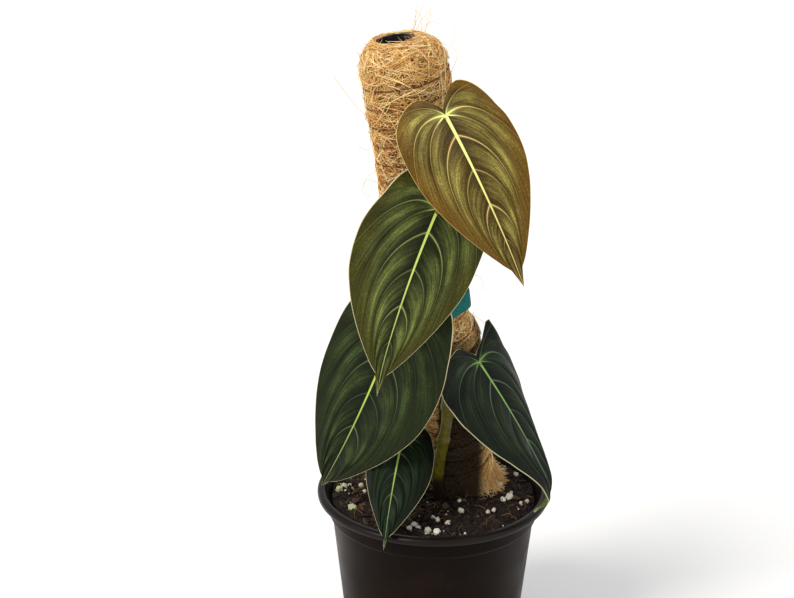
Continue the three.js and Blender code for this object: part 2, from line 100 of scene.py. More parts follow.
# %% Faces of grids
def grid_faces(rows, columns, round_rows=False, round_columns=False):
    """The quads of a grid of points; a round direction joins its last line to its first."""
    row, column = np.arange(rows - 1 + round_rows), np.arange(columns - 1 + round_columns)
    i, j = np.meshgrid(row, column, indexing="ij")
    down, right = (i + 1) % rows, (j + 1) % columns
    quads = [i * columns + j, i * columns + right, down * columns + right, down * columns + j]
    return np.stack(quads, -1).reshape(-1, 4)


def repeated(faces, copies, points_each):
    """The same faces for many equal blocks of points."""
    shift = np.arange(copies)[:, None, None] * points_each
    return (faces[None] + shift).reshape(-1, faces.shape[1])


def unit(vectors):
    """Vectors of length one."""
    return vectors / np.maximum(np.linalg.norm(vectors, axis=-1, keepdims=True), 1e-9)


def smooth(t):
    """0 below 0, 1 above 1, and t t (3 - 2 t) between."""
    t = np.clip(t, 0, 1)
    return t * t * (3 - 2 * t)


# %% Smooth curves and smooth noise
def spline(knots, power=0.5, steps=40):
    """Smooth curve through the knots: a cubic for each span, whose end slopes come from the
    neighbouring knots, set apart in time by their distance to this power. Dense points come back."""
    knots = np.asarray(knots, float)
    ends = (knots[0], knots[-1]) if power == 0 else (2 * knots[0] - knots[1], 2 * knots[-1] - knots[-2])
    p = np.vstack([ends[0], knots, ends[1]])
    d = (np.linalg.norm(np.diff(p, axis=0), axis=1) ** power)[:, None]
    slope = (p[1:-1] - p[:-2]) / d[:-1] - (p[2:] - p[:-2]) / (d[:-1] + d[1:]) + (p[2:] - p[1:-1]) / d[1:]
    t = np.linspace(0, 1, steps, endpoint=False)[None, :, None]
    a, b = knots[:-1, None], knots[1:, None]
    span = d[1:-1, None]
    bend_a, bend_b = slope[:-1, None] * span, slope[1:, None] * span
    square, cube = 3 * (b - a) - 2 * bend_a - bend_b, 2 * (a - b) + bend_a + bend_b
    curve = a + bend_a * t + square * t**2 + cube * t**3
    return np.vstack([curve.reshape(-1, knots.shape[1]), knots[-1]])


def at_share(curve, share):
    """Points at shares of a dense curve's length."""
    reach = np.concatenate([[0], np.cumsum(np.linalg.norm(np.diff(curve, axis=0), axis=1))])
    return np.stack([np.interp(np.asarray(share) * reach[-1], reach, axis) for axis in curve.T], -1)


def lattice_noise(points, size, seed=0):
    """Random heights from -1 to 1 on a cubic lattice of `size` mm, blended smoothly between its corners."""
    table = np.random.default_rng(seed).uniform(-1, 1, (24, 24, 24))
    cell = np.floor(points / size).astype(int)
    share = smooth(points / size - cell)
    total = np.zeros(points.shape[:-1])
    for corner in np.ndindex(2, 2, 2):
        weight = np.prod(np.where(corner, share, 1 - share), -1)
        total += weight * table[tuple(np.moveaxis((cell + corner) % 24, -1, 0))]
    return total


# %% [markdown]
# ## Two ways to sweep a section
# A pot or a tube is a profile turned about an axis. A stem, a cord or a fibre is a ring carried along
# a path. Both are one formula on a grid, so thousands of fibres cost no more lines than one.

# %% Turn a profile, carry a ring
def softened(profile, radius=1.0, cuts=4):
    """Round a profile's corners: each is swapped for the parabola between points `radius` before and
    after it, (1-t)(1-t) a + 2 t (1-t) corner + t t b."""
    profile = np.asarray(profile, float)
    before, corner, after = profile[:-2], profile[1:-1], profile[2:]
    reach_a = np.minimum(radius, 0.45 * np.linalg.norm(before - corner, axis=1))[:, None]
    reach_b = np.minimum(radius, 0.45 * np.linalg.norm(after - corner, axis=1))[:, None]
    a, b = corner + unit(before - corner) * reach_a, corner + unit(after - corner) * reach_b
    t = np.linspace(0, 1, cuts)[None, :, None]
    bends = (1 - t) ** 2 * a[:, None] + 2 * t * (1 - t) * corner[:, None] + t**2 * b[:, None]
    return np.vstack([profile[:1], bends.reshape(-1, 2), profile[-1:]])


def turned(profile, sides, round_profile=False):
    """Turn rows of (radius, height) about +Z: point(i, j) = (r_i cos a_j, r_i sin a_j, z_i).
    A first or last row with no radius becomes one pole point with a fan of triangles."""
    profile = np.asarray(profile, float)
    poles = not round_profile and profile[0, 0] == 0 and profile[-1, 0] == 0
    rows = profile[1:-1] if poles else profile
    angle = 2 * np.pi * np.arange(sides) / sides
    radius, height = rows[:, :1], rows[:, 1:]
    rings = [radius * np.cos(angle), radius * np.sin(angle), height + 0 * angle]
    points = np.stack(rings, -1).reshape(-1, 3)
    faces = [grid_faces(len(rows), sides, round_rows=not poles, round_columns=True)]
    if poles:
        count = len(points)
        j = np.arange(sides)
        k = (j + 1) % sides
        faces.append(np.stack([np.full(sides, count), k, j], 1))
        last = count - sides
        faces.append(np.stack([last + j, last + k, np.full(sides, count + 1)], 1))
        ends = [[0, 0, profile[0, 1]], [0, 0, profile[-1, 1]]]
        points = np.vstack([points, ends])
    return points, faces


def pipes(paths, radius, sides, reference=(0.31, 0.17, 0.94), **values):
    """Carry a ring along many paths: point = path + r (cos a side + sin a up), where side is the path's
    direction x reference, and up is side x direction. Both ends are closed by one face. Named values,
    one for each path or each of its rings, are given to every point of the ring."""
    paths = np.asarray(paths, float)
    copies, steps = paths.shape[:2]
    direction = unit(np.gradient(paths, axis=1))
    side = unit(np.cross(direction, np.broadcast_to(reference, paths.shape)))
    up = np.cross(side, direction)
    angle = (2 * np.pi * np.arange(sides) / sides)[:, None]
    radius = np.broadcast_to(radius, (copies, steps) if np.ndim(radius) < 3 else (copies, steps, sides))
    radius = radius[..., None, None] if radius.ndim == 2 else radius[..., None]
    ring = np.cos(angle) * side[:, :, None] + np.sin(angle) * up[:, :, None]
    points = (paths[:, :, None] + radius * ring).reshape(-1, 3)
    each = steps * sides
    walls = repeated(grid_faces(steps, sides, round_columns=True), copies, each)
    cap = np.arange(sides)[None]
    caps = [repeated(cap[:, ::-1], copies, each), repeated(cap + each - sides, copies, each)]
    values = {key: np.repeat(np.broadcast_to(numbers, (copies, steps)), sides)
              for key, numbers in values.items()}
    return points, [walls, *caps], values


# %% [markdown]
# ## Colours and nodes
# Colours are written as they look on a screen, in sRGB, while a shader works in linear light, so one
# function turns the one into the other. One more adds a node, because long node trees stay readable
# when each node is one line.

# %% Colour and node helpers
def linear(colour):
    """sRGB hex to linear RGBA: c / 12.92 in the dark, ((c + 0.055) / 1.055) ^ 2.4 above it."""
    s = np.array([int(colour[i:i + 2], 16) for i in (1, 3, 5)]) / 255
    return (*np.where(s <= 0.04045, s / 12.92, ((s + 0.055) / 1.055) ** 2.4), 1.0)


def per_mm(size):
    """The scale that makes a texture's lumps about `size` mm wide: how many of them fit in a metre."""
    return 1 / (size * MM)


def add(tree, kind, inputs=(), out=0, stops=(), **settings):
    """Add a node, set it, and fill its inputs, by name or in order, with numbers or with other nodes'
    outputs. One of its own outputs comes back."""
    node = tree.nodes.new("ShaderNode" + kind)
    for key, value in settings.items():
        setattr(node, key, value)
    for key, value in inputs.items() if isinstance(inputs, dict) else enumerate(inputs):
        if isinstance(value, bpy.types.NodeSocket):
            tree.links.new(value, node.inputs[key])
        else:
            node.inputs[key].default_value = value
    for i, (position, colour) in enumerate(stops):
        ramp = node.color_ramp.elements
        stop = ramp[i] if i < 2 else ramp.new(position)
        stop.position, stop.color = position, linear(colour)
    return node.outputs[out]


# A Mix node for colours has its share at input 0, the colours at 6 and 7, and the result at output 2.
SHARE, LOWER, UPPER = 0, 6, 7
PAINT = {"out": 2, "data_type": "RGBA"}
# A Map Range node takes a value, the range it comes from and the range it goes to, in this order.
EASED = {"interpolation_type": "SMOOTHSTEP"}
TIMES = {"operation": "MULTIPLY"}


def new_material(name, **constants):
    """A material with one Principled shader, whose constant sockets are set directly."""
    material = bpy.data.materials.new(name)
    material.use_nodes = True
    tree = material.node_tree
    shader = tree.nodes["Principled BSDF"]
    for key, value in constants.items():
        shader.inputs[key.replace("_", " ")].default_value = value
    return material, tree, shader


def wire(tree, shader, **sockets):
    """Link outputs to the shader's sockets."""
    for key, output in sockets.items():
        tree.links.new(output, shader.inputs[key.replace("_", " ")])


# %% [markdown]
# ## Camera, floor and light
# The camera looks down on the plant from the front, as the photographer stood. The floor is plain and
# pale. The light is a pale room all round, and a broad soft sun over the photographer's left shoulder,
# which unlike a lamp falls alike on near and far floor. The Standard view keeps white white.

# %% Camera
FOCAL_PIXELS = 1088
FRAME_PIXELS = 794
CAMERA_PLACE = (0.0, -0.6885, 0.4808)
CAMERA_DOWN = 16.38
CAMERA_LEFT = 2.07

camera_data = bpy.data.cameras.new("camera")
camera_data.sensor_width = 36
camera_data.lens = 36 * FOCAL_PIXELS / FRAME_PIXELS
camera = bpy.data.objects.new("camera", camera_data)
camera.location = CAMERA_PLACE
camera.rotation_euler = (np.radians(90 - CAMERA_DOWN), 0, np.radians(CAMERA_LEFT))
bpy.context.scene.collection.objects.link(camera)
bpy.context.scene.camera = camera
print("lens", round(camera_data.lens, 2), "mm")

# %% Floor and light
FLOOR_HALF = 40000
PLANT_MIDDLE = (0, -0.03, 0.3)
ROOM_LIGHT, WINDOW_LIGHT, FILL_LIGHT = 0.75, 2.35, 0.35

floor_material, _, _ = new_material("matt_white_board", Base_Color=linear("#F6F5F3"), Roughness=0.8)
corner_x, corner_y = np.array([-1, 1, 1, -1]) * FLOOR_HALF, np.array([-1, -1, 1, 1]) * FLOOR_HALF
slab = np.concatenate([np.stack([corner_x, corner_y, np.full(4, z)], 1) for z in (-20, -0.05)])
slab_faces = np.array([[3, 2, 1, 0], [4, 5, 6, 7], [0, 1, 5, 4], [1, 2, 6, 5], [2, 3, 7, 6], [3, 0, 4, 7]])
floor = put_mesh("floor", slab, [slab_faces], sharp_degrees=30)
floor.data.materials.append(floor_material)

world = bpy.data.worlds.new("soft_room")
world.use_nodes = True
world.node_tree.nodes["Background"].inputs["Color"].default_value = linear("#FAFCFF")
world.node_tree.nodes["Background"].inputs["Strength"].default_value = ROOM_LIGHT
bpy.context.scene.world = world
bpy.context.scene.view_settings.view_transform = "Standard"


def soft_sun(name, place, strength, colour, spread_degrees):
    """A sun that shines from place to the middle of the plant, as soft as a sky patch so wide."""
    data = bpy.data.lights.new(name, "SUN")
    data.energy, data.color, data.angle = strength, linear(colour)[:3], np.radians(spread_degrees)
    lamp = bpy.data.objects.new(name, data)
    away = np.array(place) - PLANT_MIDDLE
    from_above = np.arccos(away[2] / np.linalg.norm(away))
    lamp.location = place
    lamp.rotation_euler = (from_above, 0, np.arctan2(away[1], away[0]) + np.pi / 2)
    bpy.context.scene.collection.objects.link(lamp)


soft_sun("window", (-0.75, -0.75, 1.25), WINDOW_LIGHT, "#FFFCF6", 24)
soft_sun("fill", (1.2, -0.8, 0.8), FILL_LIGHT, "#FFF8EC", 40)
print("lights set")

# %% [markdown]
# ## The nursery pot
# The real pot is blown and moulded from black polypropylene: a thin wall, a stepped collar and a
# rolled lip, with round drain holes in the floor. It is a body of revolution, so one profile is
# turned about the axis. The holes are cut with a boolean, since a turned shape can't have them.

# %% Pot
POT_SIDES = 160
SOIL_LEVEL = 139.0
# Rows of radius and height: out over the foot, up the wall, over the lip and back down inside.
POT_PROFILE = [
    [0, 0.8], [50, 0.8], [51, 0], [57, 0], [63.6, 64], [70, 127], [72.2, 127.8], [72.5, 140.4],
    [77.6, 140.4], [79.2, 140.1], [80, 141.6], [79.7, 143.8], [78, 145], [75.4, 145], [74.6, 144.2],
    [73.9, 141.8], [70.9, 137.5], [68.5, 126], [62, 64], [55.5, 2.5], [0, 2.5],
]
DRAIN = {"count": 8, "radius": 5, "circle": 40}

pot = put_mesh("nursery_pot", *turned(softened(POT_PROFILE, 1.3), POT_SIDES), sharp_degrees=50)


def drain_cutters():
    """Upright round bars, one through each drain hole."""
    angle = 2 * np.pi * (np.arange(DRAIN["count"]) + 0.5)[:, None] / DRAIN["count"]
    x, y = DRAIN["circle"] * np.cos(angle), DRAIN["circle"] * np.sin(angle)
    paths = np.stack(np.broadcast_arrays(x, y, np.linspace(-5, 10, 4)), -1)
    return put_mesh("drain_cutters", *pipes(paths, DRAIN["radius"], 24, (1, 0, 0)))


def keep_modifiers(piece):
    """Swap a piece's mesh for the one its modifiers make, and take them off."""
    evaluated = piece.evaluated_get(bpy.context.evaluated_depsgraph_get())
    finished = bpy.data.meshes.new_from_object(evaluated)
    piece.modifiers.clear()
    piece.data = finished


cutters = drain_cutters()
drill = pot.modifiers.new("drains", "BOOLEAN")
drill.object = cutters
drill.solver = "EXACT"
keep_modifiers(pot)
bpy.data.objects.remove(cutters)

# %% [markdown]
# Black polypropylene is nearly black with a soft sheen. The mould leaves a very fine orange-peel
# grain, handling leaves dust in faint clouds, and the wall has small pale specks in it.


# %% Black polypropylene
# In metres: the heights over which the wall's dull skin turns into the rolled lip's shine.
LIP_RISE = (0.139, 0.142)


def moulded_polypropylene():
    """Moulded black plastic: soft gloss, orange peel of 0.8 mm, clouds of dust and pale specks, a lip
    that shines more, and a warm sheen tint that is a painted reflection."""
    # The warm orange sheen tint is a painted reflection of warm surroundings.
    material, tree, shader = new_material(
        "moulded_black_polypropylene", IOR=1.49, Sheen_Weight=0.03, Sheen_Roughness=0.3,
        Sheen_Tint=linear("#FFA060"))
    where = add(tree, "TexCoord", out="Object")
    clouds = add(tree, "TexNoise", {"Vector": where, "Scale": per_mm(26), "Detail": 3})
    peel = add(tree, "TexNoise", {"Vector": where, "Scale": per_mm(0.8), "Detail": 2})
    flecks = add(tree, "TexNoise", {"Vector": where, "Scale": per_mm(1.1), "Detail": 1})
    dust = add(tree, "MapRange", (clouds, 0.45, 0.75, 0, 0.5), **EASED)
    specks = add(tree, "MapRange", (flecks, 0.72, 0.8, 0, 0.4), **EASED)
    colour = linear("#100906")
    for share, over in ((dust, "#1C120B"), (specks, "#44362B")):
        colour = add(tree, "Mix", {SHARE: share, LOWER: colour, UPPER: linear(over)}, **PAINT)
    gloss = add(tree, "MapRange", (clouds, 0.3, 0.8, 0.3, 0.5), **EASED)
    up = add(tree, "SeparateXYZ", (where,), out="Z")
    shine = add(tree, "MapRange", (up, *LIP_RISE, 0.045, 0.17), **EASED)
    wire(tree, shader, Base_Color=colour, Roughness=gloss, Specular_IOR_Level=shine,
         Normal=add(tree, "Bump", {"Height": peel, "Distance": 0.03 * MM}))
    return material


settle(pot, moulded_polypropylene(), "pot_plastic", "pot")

# %% [markdown]
# ## Potting mix
# The mix is peat, bark, fibres and white perlite. The surface is a round grid of points, raised by
# coarse and fine noise. A grid alone looks like mud, so loose bits lie on it: crumbs, bark chips,
# perlite and fibres, each a deformed ball or a thin pipe, all in a few meshes.

# %% The mix's surface
SOIL_RADIUS = 70.2
POLE_FOOT = np.array([20, 16.5, 140.0])
POLE_TOP = np.array([-19.5, -50.8, 448.4])


def soil_height(x, y):
    """A low mound round the pole, exp(-(d / 34)^2) of 3.5 mm, with slow waves of 1.1 mm."""
    from_pole = np.hypot(x - POLE_FOOT[0], y - POLE_FOOT[1])
    waves = np.sin(0.31 * x + 1.7) * np.cos(0.27 * y) + 0.6 * np.sin(0.53 * y + 0.37 * x)
    return SOIL_LEVEL + 3.5 * np.exp(-((from_pole / 34) ** 2)) + 1.1 * waves


def crumbly_height(x, y):
    """The mound with crumbs: noise of 7, 3 and 1.3 mm, the finer the lower."""
    flat = np.stack([x, y, 0 * x], -1)
    noise = sum(high * lattice_noise(flat, size, seed)
                for high, size, seed in ((1.1, 7, 1), (0.9, 3, 2), (0.55, 1.3, 3)))
    return soil_height(x, y) + noise - 1.2 * smooth((np.hypot(x, y) - 60) / 12)


def soil_body(rings=150, sides=330):
    """A round grid over the top, its wall down to the floor of the pot, and one pole each end."""
    radius = SOIL_RADIUS * np.linspace(1, 0.004, rings)
    below = [[0, 2.8], [55, 2.8], [68, 126], [SOIL_RADIUS, 137]]
    profile = np.vstack([below, np.stack([radius, np.full(rings, SOIL_LEVEL)], 1), [0, SOIL_LEVEL]])
    points, faces = turned(profile, sides)
    on_top = points[:, 2] > SOIL_LEVEL - 0.5
    points[on_top, 2] = crumbly_height(points[on_top, 0], points[on_top, 1])
    return points, faces


soil = put_mesh("potting_mix", *soil_body())


# %% Lumps of many sizes
def ball(cuts):
    """Corners and faces of a ball of triangles."""
    maker = bmesh.new()
    bmesh.ops.create_icosphere(maker, subdivisions=cuts, radius=1)
    corners = np.array([v.co[:] for v in maker.verts])
    faces = np.array([[v.index for v in f.verts] for f in maker.faces])
    maker.free()
    return corners, faces


def random_turns(count, rng):
    """Random rotation matrices from quaternions of length one."""
    w, x, y, z = unit(rng.normal(size=(count, 4))).T
    rows = [[1 - 2 * (y * y + z * z), 2 * (x * y - z * w), 2 * (x * z + y * w)],
            [2 * (x * y + z * w), 1 - 2 * (x * x + z * z), 2 * (y * z - x * w)],
            [2 * (x * z - y * w), 2 * (y * z + x * w), 1 - 2 * (x * x + y * y)]]
    return np.moveaxis(np.array(rows), 2, 0)


def lumps(centres, sizes, rough, cuts, seed, lying=0.0):
    """Angular lumps: a ball's corners moved in and out by `rough`, stretched to sizes, and turned.
    lying lays the third, thin axis upright on the soil for that share of them."""
    rng = np.random.default_rng(seed)
    corners, faces = ball(cuts)
    count = len(centres)
    stretch = 1 + rough * rng.uniform(-1, 1, (count, len(corners), 1))
    shaped = corners[None] * stretch * sizes[:, None] / 2
    turns = random_turns(count, rng)
    flat = rng.random(count) < lying
    spin = rng.uniform(0, 2 * np.pi, count)
    tilt = rng.normal(0, 0.3, (2, count))
    level = np.array([[np.cos(spin), -np.sin(spin), tilt[0]], [np.sin(spin), np.cos(spin), tilt[1]],
                      [-tilt[0], -tilt[1], np.ones(count)]]).transpose(2, 0, 1)
    turns[flat] = level[flat]
    points = np.einsum("nij,nvj->nvi", turns, shaped) + centres[:, None]
    tint = np.repeat(rng.random(count), len(corners))
    return points.reshape(-1, 3), [repeated(faces, count, len(corners))], {"tint": tint}


def on_soil(count, rng, sink, inner=0.0, outer=68.0):
    """Random places on the surface, spread evenly by area and raised by `sink`."""
    radius = np.sqrt(rng.uniform(inner**2, outer**2, count))
    angle = rng.uniform(0, 2 * np.pi, count)
    x, y = radius * np.cos(angle), radius * np.sin(angle)
    return np.stack([x, y, crumbly_height(x, y) + sink], -1)


# %% Crumbs, bark and perlite
CRUMBS, CHIPS, PERLITE_BEHIND, PERLITE_DUST = 1300, 260, 14, 90
# Rows of place (x, y) and width: the lumps of perlite that show before the pole.
PERLITE = np.array([
    [-65, -2, 7], [-62, 3, 5], [-56, 0, 4], [-48, -4, 5], [-54, -29, 7],
    [-12, -50, 5], [-9, -55, 5], [-3, -57, 6], [3, -60, 7], [-15, -57, 4],
    [0, -39, 4], [3, -45, 5], [10, -45, 5], [19, -30, 5], [18, -20, 4],
    [37, -31, 4], [41, -29, 4], [48, -15, 6], [52, -12, 6], [59, 22, 5],
    [54, -3, 4], [64, -15, 4], [60, -19, 4],
])

bits = np.random.default_rng(5)
crumb_sizes = bits.uniform(0.9, 3.2, (CRUMBS, 1)) * bits.uniform(0.6, 1.2, (CRUMBS, 3))
crumb_places = on_soil(CRUMBS, bits, 0.1)
crumbs = put_mesh("peat_crumbs", *lumps(crumb_places, crumb_sizes, 0.3, 1, 6), sharp_degrees=25)

chip_sizes = bits.uniform(3, 9, (CHIPS, 1)) * np.stack(
    [np.ones(CHIPS), bits.uniform(0.25, 0.6, CHIPS), bits.uniform(0.12, 0.3, CHIPS)], 1)
chip_places = on_soil(CHIPS, bits, 0.5)
chips = put_mesh("bark_chips", *lumps(chip_places, chip_sizes, 0.16, 2, 7, 0.8), sharp_degrees=30)

x, y, width = PERLITE.T
before = np.stack([x, y, soil_height(x, y) + 1.2], -1)
behind = on_soil(PERLITE_BEHIND, bits, 0.8, 30, 66)
behind[:, 1] = np.abs(behind[:, 1])
perlite_places = np.vstack([before, behind, on_soil(PERLITE_DUST, bits, 0.2)])
perlite_width = np.concatenate(
    [width * 0.86, bits.uniform(3, 5.5, PERLITE_BEHIND), bits.uniform(0.7, 1.9, PERLITE_DUST)])
perlite_sizes = perlite_width[:, None] * bits.uniform(0.7, 1.1, (len(perlite_width), 3))
perlite = put_mesh("perlite", *lumps(perlite_places, perlite_sizes, 0.2, 2, 8), sharp_degrees=28)

# %% Fibres and a stick in the mix
# Rows of place (x, y) and height over the mix, from one end of the stick to the other.
STICK = [[47.8, -27.2, 1.4], [50.4, -33.6, 2.0], [52.9, -40.1, 1.2]]


def soil_fibres(count=170, steps=9, seed=9):
    """Short arcs that lie on the mix: a bent line whose heading turns evenly from end to end."""
    rng = np.random.default_rng(seed)
    start = on_soil(count, rng, 0.6, 0, 64)
    share = np.linspace(0, 1, steps)
    heading = rng.uniform(0, 2 * np.pi, (count, 1)) + rng.normal(0, 1.1, (count, 1)) * share
    step = rng.uniform(4, 16, (count, 1)) / steps
    x = start[:, :1] + np.cumsum(np.cos(heading) * step, 1)
    y = start[:, 1:2] + np.cumsum(np.sin(heading) * step, 1)
    inside = np.minimum(1, 69 / np.hypot(x, y))
    x, y = x * inside, y * inside
    z = crumbly_height(x, y) + 0.35 + 1.6 * rng.random((count, 1)) * np.sin(np.pi * share)
    thick = rng.uniform(0.1, 0.28, (count, 1))
    return pipes(np.stack([x, y, z], -1), thick, 3, tint=rng.random((count, 1)))


fibres_in_mix = put_mesh("root_fibres", *soil_fibres())
stick_path = spline(np.array([[x, y, soil_height(x, y) + up] for x, y, up in STICK]), steps=8)
stick_radius = 0.75 + 0.12 * np.sin(np.arange(len(stick_path)) * 1.3)
stick = put_mesh("bark_stick", *pipes(stick_path[None], stick_radius, 8))

# %% [markdown]
# Peat is almost black when moist, bark is warm brown, and perlite is volcanic glass popped like
# corn: chalky white. Each loose bit carries a random number, so a ramp can give each its own tint.


# %% Peat, bark and perlite
def moist_peat():
    """Peat: near black with brown flecks of 2 mm, rough, faintly wet."""
    material, tree, shader = new_material("moist_peat", Roughness=0.82, Specular_IOR_Level=0.25)
    where = add(tree, "TexCoord", out="Object")
    flecks = add(tree, "TexNoise", {"Vector": where, "Scale": per_mm(2.2), "Detail": 4})
    crumble = add(tree, "TexNoise", {"Vector": where, "Scale": per_mm(0.7), "Detail": 3})
    browns = [(0.35, "#0D0806"), (0.75, "#3A2618"), (0.55, "#1B110B")]
    wire(tree, shader, Base_Color=add(tree, "ValToRGB", (flecks,), stops=browns),
         Normal=add(tree, "Bump", {"Height": crumble, "Distance": 0.3 * MM}))
    return material


def tinted_bits(name, stops, grain_mm, depth_mm, roughness):
    """Loose bits whose own random number, moved a little by a fine grain, picks a colour from a ramp."""
    material, tree, shader = new_material(name, Roughness=roughness, Specular_IOR_Level=0.3)
    where = add(tree, "TexCoord", out="Object")
    tint = add(tree, "Attribute", out="Fac", attribute_name="tint")
    fine = add(tree, "TexNoise", {"Vector": where, "Scale": per_mm(grain_mm), "Detail": 3})
    moved = add(tree, "MapRange", (fine, 0, 1, -0.17, 0.18))
    share = add(tree, "Math", (tint, moved), operation="ADD")
    wire(tree, shader, Base_Color=add(tree, "ValToRGB", (share,), stops=stops),
         Normal=add(tree, "Bump", {"Height": fine, "Distance": depth_mm * MM}))
    return material


CRUMB_TINTS = [(0.0, "#0C0806"), (1.0, "#46301F"), (0.6, "#1C120C")]
BARK_TINTS = [(0.0, "#150D09"), (1.0, "#5E4430"), (0.6, "#2A1B12")]
PERLITE_TINTS = [(0.0, "#A9B07C"), (1.0, "#D8D4C6"), (0.2, "#BDB8A2")]
FIBRE_TINTS = [(0.0, "#2A1A10"), (1.0, "#A07648"), (0.6, "#5B3E24")]

crumb_skin = tinted_bits("peat_crumb", CRUMB_TINTS, 0.7, 0.2, 0.85)
bark_skin = tinted_bits("pine_bark", BARK_TINTS, 1.2, 0.25, 0.8)
perlite_skin = tinted_bits("expanded_perlite", PERLITE_TINTS, 0.6, 0.3, 0.9)
fibre_skin = tinted_bits("peat_fibre", FIBRE_TINTS, 3, 0.02, 0.8)
settle(soil, moist_peat(), "potting_mix", "soil")
for piece, skin in ((crumbs, crumb_skin), (chips, bark_skin), (perlite, perlite_skin),
                    (fibres_in_mix, fibre_skin), (stick, fibre_skin)):
    settle(piece, skin, "potting_mix")

# %% [markdown]
# ## The coir pole
# A black plastic tube carries a coat of coconut fibre, bound on with thin twine. The coat could be a
# bumpy cylinder, but its edge against the light is all fibres, so the fibres are real: a dark mat
# below, and thousands of thin three-sided pipes over it that run round and along the pole.

# %% The pole's own frame
POLE_AXIS = unit(POLE_TOP - POLE_FOOT)
POLE_LENGTH = float(np.linalg.norm(POLE_TOP - POLE_FOOT))


def turn_from_upright(axis):
    """The smallest rotation that takes +Z to axis: I + K + K K / (1 + cos), K from Z x axis."""
    x, y, z = np.cross([0, 0, 1], axis)
    k = np.array([[0, -z, y], [z, 0, -x], [-y, x, 0]])
    return np.eye(3) + k + k @ k / (1 + axis[2])


POLE_TURN = turn_from_upright(POLE_AXIS)


def on_pole(points):
    """From the pole's frame, whose Z runs up its axis, to the pot's."""
    return np.asarray(points) @ POLE_TURN.T + POLE_FOOT


# %% Coat of coir: radius and place
# Rows of height up the pole and radius. The tie squeezes the coat between 128 and 165.
COIR = np.array([
    [-7, 27.5], [0.5, 26], [9, 23.6], [30, 22.6], [60, 22.8], [100, 23], [120, 23.9], [128, 21.8],
    [135, 17.8], [158, 17.8], [165, 21.8], [176, 23.4], [205, 25], [255, 25.4], [299, 25.2],
    [308, 24.2], [313.5, 21], [316.2, 18.5], [317.8, 15.5], [318.1, 11.6],
])
# The tube's centre lies this far to the side of the coir's, and the coat's head closes in on it.
TUBE_SIDE = -4.5
# The coat under the head also sits this far to the side.
HEAD_SIDE = -1.8
TWINE_PITCH, TWINE_START, TWINE_END = 11.4, 14.0, 302.0
# Depth and half width of the groove that the twine presses into the coat.
GROOVE_DEPTH, GROOVE_WIDTH = 0.9, 2.2
# How far the mat lies under the coat's surface, and the radius of its bore for the tube.
MAT_DEPTH, BORE = 1.3, 11.4
coat_reach = np.concatenate([[0], np.cumsum(np.hypot(*np.diff(COIR, axis=0).T))])


def coat_place(reach, angle, lift):
    """Point on the coat: reach runs up the profile and over its shoulder, lift is the height off it.
    The coat has a groove where the twine passes, and bulges in slow lumps."""
    height = np.interp(reach, coat_reach, COIR[:, 0])
    radius = np.interp(reach, coat_reach, COIR[:, 1])
    turn = (height - TWINE_START) / TWINE_PITCH - angle / (2 * np.pi)
    from_twine = np.abs(turn - np.round(turn)) * TWINE_PITCH
    bound = (height > TWINE_START - 4) & (height < TWINE_END + 3)
    groove = GROOVE_DEPTH * np.exp(-((from_twine / GROOVE_WIDTH) ** 2)) * bound
    waves = 0.7 * np.sin(3 * angle + 0.09 * height) * np.cos(2 * angle - 0.13 * height)
    over = smooth((reach - coat_reach[-4]) / (coat_reach[-1] - coat_reach[-4]))
    radius = radius + (lift - groove + 0.5 * waves) * (1 - over)
    side = TUBE_SIDE * over + HEAD_SIDE * smooth((height - 250) / 40) * (1 - over)
    return np.stack([radius * np.cos(angle) + side, radius * np.sin(angle), height + lift * over], -1)


def coir_mat(rows=170, sides=84):
    """The dark mat under the fibres: the coat's own form, roughened, with a bore for the tube."""
    turn = 2 * np.pi * np.arange(sides) / sides
    reach, angle = np.meshgrid(np.linspace(0, coat_reach[-1], rows), turn, indexing="ij")
    outer = coat_place(reach, angle, np.full(reach.shape, -MAT_DEPTH))
    outer += unit(outer * [1, 1, 0]) * 0.6 * lattice_noise(outer, 2.5, 4)[..., None]
    bore = [[TUBE_SIDE + BORE * np.cos(turn), BORE * np.sin(turn), np.full(sides, z)]
            for z in (POLE_LENGTH, -7)]
    points = np.concatenate([outer, np.moveaxis(np.array(bore), 1, 2)])
    faces = grid_faces(rows + 2, sides, round_rows=True, round_columns=True)
    return on_pole(points.reshape(-1, 3)), [faces]


mat = put_mesh("coir_mat", *coir_mat())

# %% Coir fibres
COATS, COAT_FIBRES = 3, 3840


def coir_fibres(count, seed, steps=7):
    """Bent fibres on the coat: their heading wanders from level, reach adds up its sine and the angle
    its cosine over the radius, and each lies in its own layer with ends that may lift."""
    rng = np.random.default_rng(seed)
    share = np.linspace(0, 1, steps)[None]
    one = (count, 1)
    step = rng.uniform(16, 58, one) / (steps - 1)
    heading = rng.normal(0.1, 0.75, one) + rng.normal(0, 0.9, one) * (share - 0.5)
    heading = heading + 0.3 * np.sin(2 * np.pi * (share * rng.uniform(0.6, 1.6, one) + rng.random(one)))
    reach = rng.uniform(-4, coat_reach[-1] + 2, one) + np.cumsum(step * np.sin(heading), 1)
    reach = np.abs(reach)
    reach = np.where(reach > coat_reach[-1], 2 * coat_reach[-1] - reach, reach)
    radius = np.interp(reach, coat_reach, COIR[:, 1])
    angle = rng.uniform(0, 2 * np.pi, one) + np.cumsum(step * np.cos(heading) / radius, 1)
    layer = rng.uniform(-1.1, 0.9, one)
    loose = rng.random(one) ** 6 * 3.2
    lift = layer + loose * np.abs(share - rng.random(one)) ** 1.5
    lift = lift + 0.5 * np.sin(np.pi * share) * rng.random(one)
    path = on_pole(coat_place(reach, angle, lift))
    thick = rng.uniform(0.13, 0.33, one) * (1 - 0.5 * np.abs(2 * share - 1) ** 3)
    beside_axis = POLE_AXIS + np.array([0.2, 0.1, 0])
    return pipes(path, thick, 3, beside_axis, tint=rng.random(one), layer=(layer + 1.1) / 2)


